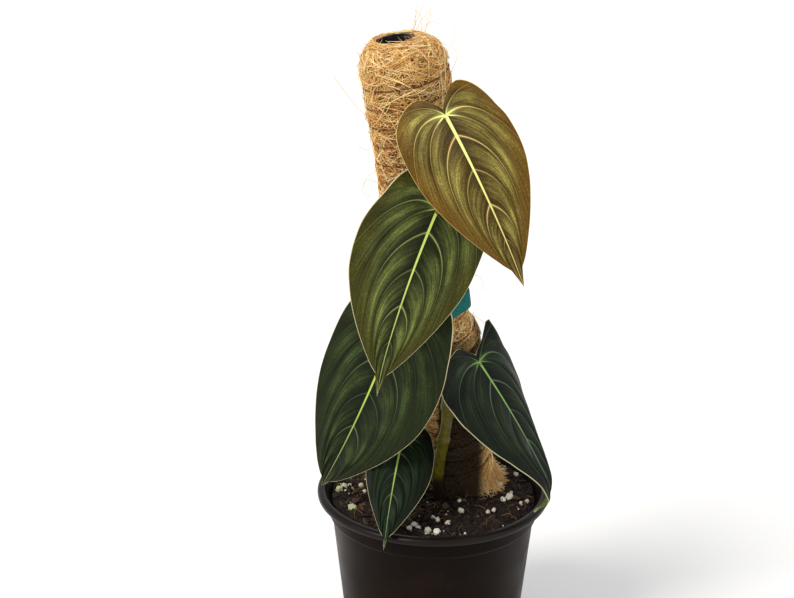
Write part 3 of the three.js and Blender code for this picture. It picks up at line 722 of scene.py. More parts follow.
coats = [put_mesh(f"coir_fibres_{i + 1}", *coir_fibres(COAT_FIBRES, 20 + i)) for i in range(COATS)]

# %% [markdown]
# Loose fibres give the pole its fuzzy outline. A few hundred short ones stand off the coat. The
# longest ones are laid out one by one, as rows of points in the pole's frame: the tuft over the head,
# the loop beside it, the long hair on the left, and the splayed tufts at the foot.

# %% Stray fibres
STRAYS = [
    [(6.8, 0.6, 312), (6.7, 0.6, 322), (10.6, 1, 330), (14.8, 1.4, 337)],
    [(5.7, 0.5, 312), (6.3, 0.6, 323), (9.6, 0.9, 332), (10.6, 1, 338)],
    [(8.2, 0.8, 313), (9.9, 0.9, 325), (15.1, 1.4, 330), (20.8, 1.9, 334.6)],
    [(8.4, 0.8, 314), (12.6, 1.2, 323), (18, 1.7, 325), (22.2, 2.1, 322)],
    [(7.5, 0.7, 313), (10.8, 1, 322), (11.1, 1, 330), (7.1, 0.7, 334.4)],
    [(9.1, 0.9, 312), (13.4, 1.3, 321), (15.5, 1.5, 328), (19.3, 1.8, 331)],
    [(7.8, 0.2, 312), (8.4, 0.4, 320), (8, 1.2, 327), (9.4, 1, 335)],
    [(9.9, -0.6, 313), (11.4, 0.2, 319), (16.4, 1, 327), (17.3, 1.4, 334)],
    [(17.8, 1.7, 297), (23.9, 2.2, 306.5), (29.3, 2.7, 314), (28.5, 2.7, 322), (24.8, 2.3, 325)],
    [(21.8, 2, 290), (27.7, 2.6, 299), (29.5, 2.8, 304.4), (26.7, 2.5, 311)],
    [(-42.8, -4, 303), (-37.5, -3.5, 292), (-31.5, -2.9, 281.4), (-24.9, -2.3, 273.6)],
    [(-34.4, -3.2, 258), (-30.6, -2.9, 255), (-25.6, -2.4, 256.7)],
    [(-26, -2.6, 233), (-33.4, -3.1, 236), (-36.3, -3.4, 228.5), (-31.5, -2.9, 223.7)],
    [(-25, -2.4, 241), (-31.8, -3, 238.3), (-35.2, -3.3, 232.3), (-33.1, -3.1, 225.3)],
    [(22, 2.2, 163), (29.3, 2.7, 157.8), (29.9, 2.8, 150.4), (25.2, 2.4, 148.2)],
    [(24.4, 2.3, 271.3), (29.8, 2.8, 274.2), (32.1, 3, 279.4), (29.7, 2.8, 284.1)],
    [(24.2, 2.3, 282.5), (28.6, 2.7, 285.4), (28.7, 2.7, 291.5)],
    [(-23, -2.3, 307), (-26.6, -2.5, 314.2), (-23.5, -2.2, 319.6)],
    [(-24.3, -2.3, 289), (-28.2, -2.6, 295.5), (-29, -2.7, 301.6)],
    [(22, 8, 128), (29, 7, 121), (32, 6, 112), (26, 6, 106)],
]


def stray_fibres(steps=26):
    """Each row of points becomes one smooth thin pipe, thinner to its end."""
    share = np.linspace(0, 1, steps)
    paths = np.stack([at_share(spline(on_pole(np.array(knots, float))), share) for knots in STRAYS])
    tint = np.linspace(0.3, 0.9, len(STRAYS))[:, None]
    return pipes(paths, 0.17 * (1 - 0.55 * share**2), 4, tint=tint, layer=1.0)


def fuzz(count=620, steps=9, seed=31):
    """Short fibres rooted in the coat that curl away from it: lift grows as share^1.6."""
    rng = np.random.default_rng(seed)
    share = np.linspace(0, 1, steps)[None]
    one = (count, 1)
    head = rng.random(one) < 0.3
    near_head = rng.uniform(coat_reach[-1] - 30, coat_reach[-1] - 4, one)
    start = np.where(head, near_head, rng.uniform(5, coat_reach[-1], one))
    length = rng.uniform(5, 22, one)
    heading = rng.uniform(-3.14, 3.14, one) + rng.normal(0, 1.6, one) * share
    reach = np.clip(start + np.cumsum(np.sin(heading) * length / steps, 1), 0, coat_reach[-1])
    angle = rng.uniform(0, 2 * np.pi, one) + np.cumsum(np.cos(heading) * length / steps / 24, 1)
    lift = rng.uniform(0.6, 4.6, one) ** 1.3 * share**1.6 * (1 - 0.35 * share)
    path = on_pole(coat_place(reach, angle, lift + 0.3))
    return pipes(path, 0.15 * (1 - 0.5 * share), 3, tint=rng.uniform(0.2, 1, one), layer=1.0)


def foot_tufts(count=420, steps=9, seed=37):
    """Fibres that leave the coat's foot and splay over the mix, longest to the right and the front."""
    rng = np.random.default_rng(seed)
    share = np.linspace(0, 1, steps)[None]
    one = (count, 1)
    angle = rng.normal(-0.55, 0.9, one) + rng.normal(0, 0.35, one) * share
    reach = rng.uniform(1, 9, one) * (0.55 + 0.45 * np.cos(angle[:, :1] + 0.35))
    radius = 22.5 + (3 + reach) * share**1.3
    height = rng.uniform(6, 26, one) * (1 - share) ** 1.4
    foot = on_pole(np.stack([radius * np.cos(angle), radius * np.sin(angle), height], -1))
    ground = soil_height(foot[..., 0], foot[..., 1]) + 0.3 + rng.random(one) * 1.8 * share
    foot[..., 2] = np.maximum(foot[..., 2], ground)
    return pipes(foot, 0.19 * (1 - 0.4 * share), 3, tint=rng.uniform(0.3, 1, one), layer=1.0)


strays = [put_mesh("stray_fibres", *stray_fibres()), put_mesh("coir_fuzz", *fuzz()),
          put_mesh("foot_tufts", *foot_tufts())]

# %% [markdown]
# Coir is a hard fibre from the husk: straw gold to rust, dull, a little shiny along each strand. Deep
# fibres sit in shade and hold dirt, so the layer number darkens them. Low on its front, under the leaves, it
# is painted dark as their shade.


# %% Coir
COIR_TINTS = [(0.0, "#A8682A"), (1.0, "#FFEFC0"), (0.35, "#E6AE5C"), (0.7, "#FFDA90")]
# In metres: painted shade of the leaves on the pole's front, full below the second height and none above the
# first, fading out to the right between the third and fourth numbers. Left of the first number on the next
# row it climbs less high, by LESS_LEFT, easing off by the second. It ends between FRONT_SIDE and BACK_SIDE,
# and its border is RAGGED.
SHADE_TOP, SHADE_FULL, SHADE_SIDE, UNSHADED_SIDE = 0.285, 0.215, 0.030, 0.037
LOWER_SHADE_LEFT, SHADE_LEFT, LESS_LEFT = 0.001, 0.006, 0.085
FRONT_SIDE, BACK_SIDE, RAGGED = 0.006, 0.018, 0.012


def leaf_shade_share(tree, where):
    """How much painted shade of the leaves falls on the pole at a place: 0.92 low on its front with a
    ragged border, and none above it, to the right or behind."""
    across, back, up = (add(tree, "SeparateXYZ", (where,), out=axis) for axis in "XYZ")
    lumps = add(tree, "TexNoise", {"Vector": where, "Scale": per_mm(9), "Detail": 3})
    ragged = add(tree, "MapRange", (lumps, 0.3, 0.7, -RAGGED, RAGGED))
    less = add(tree, "MapRange", (across, LOWER_SHADE_LEFT, SHADE_LEFT, LESS_LEFT, 0.0), **EASED)
    for shift in (less, ragged):
        up = add(tree, "Math", (up, shift), operation="ADD")
    share = add(tree, "MapRange", (up, SHADE_TOP, SHADE_FULL, 0.0, 0.92), **EASED)
    right = add(tree, "MapRange", (across, SHADE_SIDE, UNSHADED_SIDE, 1.0, 0.0), **EASED)
    front = add(tree, "MapRange", (back, FRONT_SIDE, BACK_SIDE, 1.0, 0.0), **EASED)
    for factor in (right, front):
        share = add(tree, "Math", (share, factor), **TIMES)
    return share


def coir_skin(name, shade):
    """Coconut fibre: tint along a ramp from rust to straw, darker in deep layers, painted dark low on the
    front as the leaves' shade, and multiplied by the shade colour given.
    """
    material, tree, shader = new_material(name, Roughness=0.62, Specular_IOR_Level=0.3)
    where = add(tree, "TexCoord", out="Object")
    tint = add(tree, "Attribute", out="Fac", attribute_name="tint")
    layer = add(tree, "Attribute", out="Fac", attribute_name="layer")
    clouds = add(tree, "TexNoise", {"Vector": where, "Scale": per_mm(17), "Detail": 2})
    # Painted shade: the leaves' shadow, dark low on the pole's front.
    leaf_shade = leaf_shade_share(tree, where)
    deep = add(tree, "MapRange", (layer, 0.1, 0.5, 0.85, 0.0), **EASED)
    rusty = add(tree, "MapRange", (clouds, 0.45, 0.75, 0.0, 0.3), **EASED)
    colour = add(tree, "ValToRGB", (tint,), stops=COIR_TINTS)
    for share, over in ((deep, "#4E2C12"), (rusty, "#C08036"), (leaf_shade, "#0D0603")):
        colour = add(tree, "Mix", {SHARE: share, LOWER: colour, UPPER: linear(over)}, **PAINT)
    shaded = {SHARE: 1.0, LOWER: colour, UPPER: linear(shade)}
    wire(tree, shader, Base_Color=add(tree, "Mix", shaded, blend_type="MULTIPLY", **PAINT))
    return material


coir_material = coir_skin("coconut_coir", "#FFFFFF")
# The mat is painted darker than the fibres over it, as the shade and dirt deep in the coat.
mat_material = coir_skin("coconut_coir_mat", "#A88458")
settle(mat, mat_material, "coir", "coir_sleeve")
for piece in coats + strays:
    settle(piece, coir_material, "coir")

# %% [markdown]
# ## Tube, twine and tie
# The tube is turned like the pot, from one closed profile, and then carried to the leaning axis by the
# pole's own frame. Its plastic is greyer than the pot's, since its rim is scuffed.

# %% Tube
TUBE_TOP = POLE_LENGTH + 0.4
# Rows of radius and height: up the outside, over the rounded rim and down the bore.
TUBE_PROFILE = [
    [9.5, -80], [11, -80], [11, TUBE_TOP - 8], [10.9, TUBE_TOP - 0.8],
    [10.3, TUBE_TOP], [9.7, TUBE_TOP - 0.2], [9.5, TUBE_TOP - 8], [9.5, 0],
]
tube_points, tube_faces = turned(TUBE_PROFILE, 64, round_profile=True)
tube = put_mesh("pole_tube_wall", on_pole(tube_points + [TUBE_SIDE, 0, 0]), tube_faces, sharp_degrees=50)


def extruded_tube_plastic():
    """Extruded black pipe: satin, greyed by scuffs, with a fine grain."""
    material, tree, shader = new_material("extruded_black_pipe", IOR=1.5, Specular_IOR_Level=0.3)
    where = add(tree, "TexCoord", out="Object")
    scuffs = add(tree, "TexNoise", {"Vector": where, "Scale": per_mm(4), "Detail": 3})
    peel = add(tree, "TexNoise", {"Vector": where, "Scale": per_mm(1.2), "Detail": 2})
    worn = add(tree, "MapRange", (scuffs, 0.4, 0.8, 0.1, 0.9), **EASED)
    gloss = add(tree, "MapRange", (scuffs, 0.3, 0.8, 0.35, 0.6), **EASED)
    colour = {SHARE: worn, LOWER: linear("#141517"), UPPER: linear("#3A3D41")}
    wire(tree, shader, Base_Color=add(tree, "Mix", colour, **PAINT), Roughness=gloss,
         Normal=add(tree, "Bump", {"Height": peel, "Distance": 0.04 * MM}))
    return material


settle(tube, extruded_tube_plastic(), "tube_plastic", "pole_tube")

# %% [markdown]
# The twine is two plies laid together and wound up the pole. Two cords would be right but heavy, so
# one pipe has a section with two lobes that turn as it goes.

# %% Twine
TWINE_RADIUS = 0.42
# The mean radius of a turn of the twine about the pole.
TWINE_LOOP = 24.5


def binding_twine(steps_per_turn=120, sides=6, lay=4.2):
    """A helix that bites into the coat. Its section of two plies, r (0.9 + 0.3 |cos(a - pi s / lay)|),
    makes half a twist in `lay` mm, drawn coarser than a real one so that it shows."""
    turns = (TWINE_END - TWINE_START) / TWINE_PITCH
    share = np.linspace(0, 1, int(turns * steps_per_turn))
    angle = 2 * np.pi * turns * share
    height = TWINE_START + share * (TWINE_END - TWINE_START)
    reach = np.interp(height, COIR[:, 0], coat_reach)
    path = on_pole(coat_place(reach, angle, np.full(len(share), GROOVE_DEPTH + TWINE_RADIUS)))
    run = TWINE_LOOP * angle
    around = 2 * np.pi * np.arange(sides) / sides
    radius = TWINE_RADIUS * (0.9 + 0.3 * np.abs(np.cos(around[None] - np.pi * run[:, None] / lay)))
    return pipes(path[None], radius[None], sides, POLE_AXIS)


twine = put_mesh("wound_twine", *binding_twine())


def spun_jute():
    """Jute twine: reddish brown, matt, lighter and darker in stretches of about 6 mm, painted dark in the
    leaves' shade.
    """
    material, tree, shader = new_material("spun_jute", Roughness=0.8, Specular_IOR_Level=0.25)
    where = add(tree, "TexCoord", out="Object")
    stretches = add(tree, "TexNoise", {"Vector": where, "Scale": per_mm(6), "Detail": 3})
    hairs = add(tree, "TexNoise", {"Vector": where, "Scale": per_mm(0.5), "Detail": 2})
    browns = [(0.3, "#4A2411"), (0.75, "#96602F"), (0.5, "#703E20")]
    jute = add(tree, "ValToRGB", (stretches,), stops=browns)
    # Painted shade: the twine darkens with the coir where the leaves' shade is painted.
    colour = {SHARE: leaf_shade_share(tree, where), LOWER: jute, UPPER: linear("#150B06")}
    wire(tree, shader, Base_Color=add(tree, "Mix", colour, **PAINT),
         Normal=add(tree, "Bump", {"Height": hairs, "Distance": 0.1 * MM}))
    return material


settle(twine, spun_jute(), "twine", "binding_twine")

# %% [markdown]
# The tie is a strap of hook-and-loop tape round the pole and the stem, so the stem's centre line comes
# first. A flat section is carried round both, and its end is lapped over itself.

# %% Stem centre line
# Rows of height up the pole, and offset to the right of and before its axis.
STEM = np.array([
    [-14, -15, -27], [4, -15.5, -28.5], [32, -12.8, -28.3], [54, -7.5, -29.4], [74, -2.5, -30],
    [100, 0, -30.4], [126, 0.5, -31], [152, 1, -27.4], [174, 1, -30.6], [198, 0, -32.4], [232, 2, -33],
])
stem_knots = on_pole(STEM[:, [1, 2, 0]])


def stem_at(height):
    """Point of the stem at a height up the pole, read from its rows."""
    return on_pole(np.array([np.interp(height, STEM[:, 0], STEM[:, i]) for i in (1, 2)] + [height]))


# %% Tie
TIE_HEIGHT, TIE_WIDTH, TIE_THICK, TIE_LAP = 146.5, 12.0, 1.1, 0.2
TIE_RISE = np.tan(np.radians(12))
# Place and radius of the two things it goes round: the squeezed coat and the stem.
TIE_CIRCLES = [(0, 0, 19.9), (1, -27.4, 5.2)]


def tie_outline(angle, out):
    """A loop drawn tight round two circles: in each direction, it follows the one that reaches further."""
    (*coat, coat_radius), (*stem_place, stem_radius) = TIE_CIRCLES
    direction = np.stack([np.cos(angle), np.sin(angle)], -1)
    on_coat = direction @ coat + coat_radius > direction @ stem_place + stem_radius
    middle = np.where(on_coat[:, None], coat, stem_place)
    radius = np.where(on_coat, coat_radius, stem_radius) + out
    return middle + radius[:, None] * direction


def plant_tie(steps=200, corners=16):
    """A flat strap once round and a fifth more: point = outline + thickness out + width up, sheared by
    12 degrees so that it rises to the front. Its lapped end climbs over the start within 12 degrees."""
    turn = np.linspace(0, 1 + TIE_LAP, steps)
    angle = 2 * np.pi * turn + 0.5
    climb = (TIE_THICK + 0.15) * smooth((turn - 0.97) / 0.035)
    edge = np.linspace(0, 2 * np.pi, corners, endpoint=False)
    out = TIE_THICK / 2 * (1 + np.sign(np.cos(edge)) * np.abs(np.cos(edge)) ** 0.5)
    up = TIE_WIDTH / 2 * np.sign(np.sin(edge)) * np.abs(np.sin(edge)) ** 0.25
    rows = [np.concatenate([tie_outline(angle, 0.3 + climb + o), np.full((steps, 1), TIE_HEIGHT + u)], 1)
            for o, u in zip(out, up)]
    points = np.stack(rows, 1).reshape(-1, 3)
    points[:, 2] -= TIE_RISE * points[:, 1]
    cap = np.arange(corners)[None]
    walls = grid_faces(steps, corners, round_columns=True)
    return on_pole(points), [walls, cap[:, ::-1], cap + (steps - 1) * corners]


tie = put_mesh("plant_tie_tape", *plant_tie(), sharp_degrees=60)


def hook_and_loop_tape():
    """Loop tape: a teal nylon pile of 0.7 mm loops, matt with a soft sheen."""
    material, tree, shader = new_material(
        "nylon_loop_tape", Roughness=0.85, Specular_IOR_Level=0.15, Sheen_Weight=0.04, Sheen_Roughness=0.4,
        Sheen_Tint=linear("#7FD8CF"))
    where = add(tree, "TexCoord", out="Object")
    loops = add(tree, "TexNoise", {"Vector": where, "Scale": per_mm(0.7), "Detail": 3})
    teals = [(0.3, "#003937"), (0.75, "#037770"), (0.5, "#005B57")]
    wire(tree, shader, Base_Color=add(tree, "ValToRGB", (loops,), stops=teals),
         Normal=add(tree, "Bump", {"Height": loops, "Distance": 0.4 * MM}))
    return material


settle(tie, hook_and_loop_tape(), "tie_tape", "plant_tie")

# %% [markdown]
# ## Leaf blades
# A blade is a heart with a drip tip. Its veins leave the midrib at a wide angle and sweep towards the
# tip, and the blade swells between them. A flat heart with a picture of veins would be quick. Here
# the grid itself follows the veins: k picks a line from the notch (0) to the tip (1), and t runs out
# along it from the midrib to the margin. The flat blade is then bent, cupped and twisted as the CAD
# blade is.

# %% Sizes of the blades
# A blade hangs from base, where its stalk joins it, to tip. Pairs hold the left half's value first.
# roll turns the blade about its chord, arch bends the midrib, curl bends its end from curl_from on.
# fold lifts a half from the midrib, cup bends it on, lift raises the lobe, lobe scales its length.
LEAVES = {
    "leaf_1": dict(
        base=(5, -92, 409.5), tip=(49.6, -104.4, 316.5), roll=-4, half=(32.7, 31.5), arch=-53, curl=9,
        curl_from=0.75, bow=3.2, fold=(5, -8.5), cup=(-34, -41), lobe=(0.74, 0.9), lift=(-4, -8), twist=12),
    "leaf_2": dict(
        base=(1, -76, 354.5), tip=(-33.5, -89, 244.5), roll=12, half=(41.2, 36), arch=-14, curl=23,
        curl_from=0.75, bow=-3.3, fold=(16.5, 10.5), cup=(-16, -23), lobe=(0.86, 1), lift=(3.5, 0), twist=14,
        point=(0.05, 0)),
    "leaf_3": dict(
        base=(-25, -57, 273.5), tip=(-75, -21, 152), roll=-16, half=(36, 42.5), arch=-22, curl=-16.5,
        curl_from=0.75, bow=3.7, fold=(12, 15), cup=(-30, -28), lobe=(0.96, 1.33), lift=(-3, 5), twist=-7),
    "leaf_4": dict(
        base=(28.5, -33, 246.5), tip=(66.5, -45.4, 148), roll=53, half=(39, 36.5), arch=9, curl=-80,
        curl_from=0.68, bow=6, fold=(15, 0), cup=(-46, -50), lobe=(0.65, 0.94), lift=(17, 12), twist=-37,
        point=(0, 0.18)),
    "leaf_5": dict(
        base=(-20.5, -33, 191), tip=(-30, -88, 142.5), roll=-1, half=(20.5, 24), arch=-23, curl=9,
        curl_from=0.75, bow=-1, fold=(-14, -1.5), cup=(-32, -34), lobe=(1, 1.1), lift=(0, -5), twist=5),
}
# Half of the outline from notch to tip: share of the half width, share of the length.
OUTLINE = np.array([
    [0, -0.045], [0.13, -0.12], [0.39, -0.2], [0.73, -0.15], [0.93, -0.02], [1, 0.16],
    [0.95, 0.35], [0.77, 0.52], [0.5, 0.69], [0.22, 0.835], [0.05, 0.91], [0, 1],
])
# A half has VEINS veins. The first FAN of its lines start in the notch, the others along the midrib.
# A line's control point lies NEAR_REACH of the way to the margin at the notch, FAR_REACH at the tip.
# The powers say how fast a line's end, and the point it first heads for, run along the margin.
VEINS, FAN, NEAR_REACH, FAR_REACH, END_POWER, HEAD_POWER = 8, 0.36, 0.92, 0.66, 3.1, 1.15
# How far each point of the lobe's outline moves across where a lobe is pointed.
POINTED = np.array([1, 1, -0.5, -1])
# In mm: the height of the pleats and of the margin's wave, the half width at which half of cup is
# reached, and the way from the midrib over which the relief turns with its half.
PLEAT, WAVE, CUP_SPAN, FOLD_EASE = 1.3, 0.8, 45, 5
# In shares of the length: where the lobe begins to lift, over how far, and where the twist is none.
LOBE_TOP, LOBE_SPAN, TWIST_CENTRE = 0.12, 0.3, 0.3


# %% The frame and the midrib of a blade
def blade_frame(leaf):
    """The base, the chord's length, and unit directions: along the chord, across to the right, and out
    of the face, the last two turned about the chord by roll."""
    base, tip = np.array(leaf["base"], float), np.array(leaf["tip"], float)
    along = unit(tip - base)
    front = np.array([0, -1.0, 0])
    face = unit(front - along * (front @ along))
    across = np.cross(face, along)
    roll = np.radians(leaf["roll"])
    return (base, float(np.linalg.norm(tip - base)), along,
            across * np.cos(roll) - face * np.sin(roll), face * np.cos(roll) + across * np.sin(roll))


def midrib(leaf, steps=80):
    """Heading = arch v + curl smooth(...), added up to a curve of length one with its chord laid flat.
    Rows of share, reach along, reach out, heading come back, and the chord's length."""
    v = np.linspace(0, 1, steps + 1)
    curl = smooth((v - leaf["curl_from"]) / (1 - leaf["curl_from"]))
    heading = np.radians(leaf["arch"]) * v + np.radians(leaf["curl"]) * curl
    step = np.stack([np.cos(heading), np.sin(heading)])
    x, y = np.concatenate([[[0], [0]], np.cumsum((step[:, 1:] + step[:, :-1]) / 2 / steps, 1)], 1)
    tilt = np.arctan2(y[-1], x[-1])
    flat_x, flat_y = x * np.cos(tilt) + y * np.sin(tilt), y * np.cos(tilt) - x * np.sin(tilt)
    return np.stack([v, flat_x, flat_y, heading - tilt]), float(np.hypot(x[-1], y[-1]))


# %% From the flat heart to the hanging blade
def flat_blade(leaf, length, side, k, t):
    """(1-t)(1-t) start + 2 t (1-t) control + t t end: start on the midrib, end on the margin, and the
    control point aims at the margin further back, so the vein sweeps towards the tip."""
    outline = OUTLINE * [leaf["half"][side], length]
    low = (OUTLINE[:, 0] > 0) & (OUTLINE[:, 1] < 0)
    outline[low, 1] *= leaf["lobe"][side]
    outline[low, 0] += POINTED * leaf.get("point", (0, 0))[side] * leaf["half"][side]
    margin = spline(outline, power=0)
    start = np.stack([0 * k, length * np.maximum(0, (k - FAN) / (1 - FAN))], -1)
    end = at_share(margin, 1 - (1 - k) ** END_POWER)
    head = at_share(margin, 1 - (1 - k) ** HEAD_POWER)
    reach = (NEAR_REACH + (FAR_REACH - NEAR_REACH) * k)[..., None]
    control = start + reach * (head - start)
    t = t[..., None]
    return (1 - t) ** 2 * start + 2 * t * (1 - t) * control + t**2 * end


def on_blade(leaf, side, x, y, height):
    """Carry x across, y along and a height off the face to the pot's frame: along the midrib's curve,
    then out to the side, raised by fold + cup x / 90 + the lobe's lift, and twisted about the midrib."""
    base, chord, along, across, face = blade_frame(leaf)
    rows, span = midrib(leaf)
    length = chord / span
    v = np.clip(y / length, 0, 1)
    reach, rise, angle = (np.interp(v, rows[0], row) for row in rows[1:])
    back = np.minimum(0, y / length)
    reach, rise = reach + back * np.cos(rows[3, 0]), rise + back * np.sin(rows[3, 0])
    lobe = smooth((LOBE_TOP - y / length) / LOBE_SPAN) * np.minimum(1, 2 * x / CUP_SPAN)
    fold, cup, lift = (leaf[key][side] for key in ("fold", "cup", "lift"))
    bend = np.radians(fold + 0.5 * cup * x / CUP_SPAN + lift * lobe)
    twist = np.radians(leaf["twist"]) * (v - TWIST_CENTRE)
    hand = -1 if side == 0 else 1
    angle, bend, twist, v, x, reach, rise, height = (
        np.asarray(q)[..., None] for q in (angle, bend, twist, v, x, reach, rise, height))
    normal = face * np.cos(angle) - along * np.sin(angle)
    out = across * np.cos(twist) + normal * np.sin(twist)
    up = normal * np.cos(twist) - across * np.sin(twist)
    lean = bend * smooth(x / FOLD_EASE)
    surface = up * np.cos(lean) - hand * out * np.sin(lean)
    return (base + length * (along * reach + face * rise) + across * leaf["bow"] * 4 * v * (1 - v)
            + out * hand * x * np.cos(bend) + up * x * np.sin(bend) + surface * height)


# %% [markdown]
# Pleats and veins have one source. The grid's lines run with the veins, so a cosine of k gives the
# pleats, and the distance to a vein is a gap in k times the lines' spacing. The skin reads such numbers
# from the mesh instead of an image, so that a vein keeps its width however the blade bends.


# %% Relief
def relief(k, t, flat, seed):
    """Pleats |cos(8 pi k)| sin(pi t), creased at the veins, a slow wave of the margin, and ripples."""
    before_tip = smooth((1 - k) / 0.3)
    pleat = np.abs(np.cos(np.pi * VEINS * k)) * np.sin(np.pi * t)
    pleat = pleat * smooth(k / 0.08) * smooth((1 - k) / 0.25)
    wave = np.sin(11 * k + 1) * t * t * smooth(k / 0.1) * before_tip
    noise = lattice_noise(np.concatenate([flat, 0 * flat[..., :1]], -1), 9, seed)
    return PLEAT * pleat + WAVE * wave + noise * 0.5 * t**3 * before_tip, pleat


# %% Numbers for the skin
# In mm: half widths of the drawn veins and midrib at their start, and the reach of the bright star where
# the veins leave the junction.
VEIN_WIDTH, RIB_WIDTH, STAR_RADIUS = 0.42, 1.15, 7.5
# Every other vein is drawn bold, and those between at this share of its strength.
FAINT_VEIN = 0.45


def to_margin(flat):
    """How far each point is from the margin in mm, along its own line."""
    run = np.cumsum(np.linalg.norm(np.diff(flat, axis=1), axis=-1), 1)
    run = np.concatenate([np.zeros((len(flat), 1)), run], 1)
    return run[:, -1:] - run


def vein_distances(k, flat):
    """k counted in veins, and the mm to the nearest vein and to the nearest line between two veins: the
    gap in k times the length that one unit of k spans there."""
    phase = np.minimum(k, 0.9999) * VEINS
    per_k = np.linalg.norm(np.gradient(flat, axis=0), axis=-1) * (len(k) - 1)
    vein = np.abs(phase - np.floor(phase) - 0.5) / VEINS * per_k
    return phase, vein, np.abs(phase - np.round(phase)) / VEINS * per_k


def skin_numbers(t, flat, length, phase, vein):
    """vein and rib: distance in widths of the drawn line, which thins to the margin and to the tip. ink:
    how bold the vein is. bank: place across a pleat, used to paint shade on its side away from the tip.
    star: near the junction. along: share of length."""
    v = flat[..., 1] / length
    star = np.exp(-((np.hypot(flat[..., 0], flat[..., 1]) / STAR_RADIUS) ** 2))
    bold = np.where(np.floor(phase) % 2 == 1, 1.0, FAINT_VEIN)
    ink = bold * (1 - 0.5 * smooth((t - 0.3) / 0.7)) * (1 - 0.7 * smooth((v - 0.5) / 0.45))
    vein_width = VEIN_WIDTH * (1 - 0.5 * t) * (0.7 + 0.3 * bold) + 0.5 * star
    rib_width = RIB_WIDTH * min(1, length / 90) * (1 - 0.88 * np.clip(v, 0, 1) ** 0.7)
    rib = np.where(flat[..., 1] > -0.3, flat[..., 0] / rib_width, 9)
    return {"vein": vein / vein_width, "rib": rib, "ink": np.maximum(ink, star), "star": star,
            "bank": 1 - np.mod(phase - 0.5, 1), "along": v, "t": t}


# %% One half of a blade
LINES_PER_VEIN, OUT_STEPS, BLADE_THICK = 18, 38, 0.55
# Height and half width of the ridges underneath, where the veins and the midrib run.
VEIN_RIDGE, VEIN_RIDGE_WIDTH = 0.35, 0.8
RIB_RIDGE, RIB_RIDGE_WIDTH = 0.9, 1.5


def half_blade(leaf, side, seed):
    """One half as two grids, top and underside, and the numbers that the skin reads. Underneath, the
    veins and the midrib stand out as ridges."""
    length = blade_frame(leaf)[1] / midrib(leaf)[1]
    lines = np.linspace(0, 1, VEINS * LINES_PER_VEIN + 1)
    k, t = np.meshgrid(lines, np.linspace(0, 1, OUT_STEPS) ** 0.9, indexing="ij")
    flat = flat_blade(leaf, length, side, k, t)
    flat[..., 0] = np.abs(flat[..., 0])
    x, y = flat[..., 0], flat[..., 1]
    height, pleat = relief(k, t, flat, seed)
    phase, vein, between = vein_distances(k, flat)
    values = {**skin_numbers(t, flat, length, phase, vein), "between": between, "pleat": pleat,
              "edge": to_margin(flat), "comb": phase + 20 * side}
    rib_ridge = RIB_RIDGE * np.exp(-((x / RIB_RIDGE_WIDTH) ** 2)) * smooth((1 - k) / 0.3) * (y > -0.5)
    ridge = VEIN_RIDGE * np.exp(-((vein / VEIN_RIDGE_WIDTH) ** 2)) * (1 - 0.8 * t) + rib_ridge
    offsets = (BLADE_THICK / 2, -BLADE_THICK / 2 - ridge)
    return [on_blade(leaf, side, x, y, height + offset) for offset in offsets], values


# %% Weld the halves into one closed blade
def welded(points, triangles, values, apart=2e-3):
    """Merge points that lie within `apart` mm, and drop the triangles that this closes up."""
    cells = np.round(points / apart).astype(np.int64)
    _, first, group = np.unique(cells, axis=0, return_index=True, return_inverse=True)
    triangles = group.reshape(-1)[triangles]
    a, b, c = triangles.T
    kept = triangles[(a != b) & (b != c) & (c != a)]
    return points[first], kept, {key: numbers[first] for key, numbers in values.items()}


def blade(leaf, seed):
    """Both halves, both faces and the rim between them, welded into one mesh of triangles."""
    points, faces = [], []
    values = {}
    for side in (0, 1):
        grids, numbers = half_blade(leaf, side, seed + side)
        rows, columns = numbers["t"].shape
        first = sum(len(p) for p in points)
        each = rows * columns
        quads = grid_faces(rows, columns)
        edge = np.arange(rows) * columns + columns - 1
        rim = np.stack([edge[:-1], edge[1:], edge[1:] + each, edge[:-1] + each], 1)
        if side == 1:
            quads, rim = quads[:, ::-1], rim[:, ::-1]
        faces += [first + quads, first + each + quads[:, ::-1], first + rim[:, ::-1]]
        for back, grid in enumerate(grids):
            points.append(grid.reshape(-1, 3))
            numbers["back"] = np.full((rows, columns), float(back))
            for key, number in numbers.items():
                values.setdefault(key, []).append(number.ravel())
    quads = np.concatenate(faces)
    triangles = np.concatenate([quads[:, [0, 1, 2]], quads[:, [0, 2, 3]]])
    joined = {key: np.concatenate(parts) for key, parts in values.items()}
    points, triangles, joined = welded(np.concatenate(points), triangles, joined)
    return points, [triangles], joined


blades = {name: put_mesh(name + "_blade", *blade(leaf, 50 + 2 * i), sharp_degrees=65)
          for i, (name, leaf) in enumerate(LEAVES.items())}
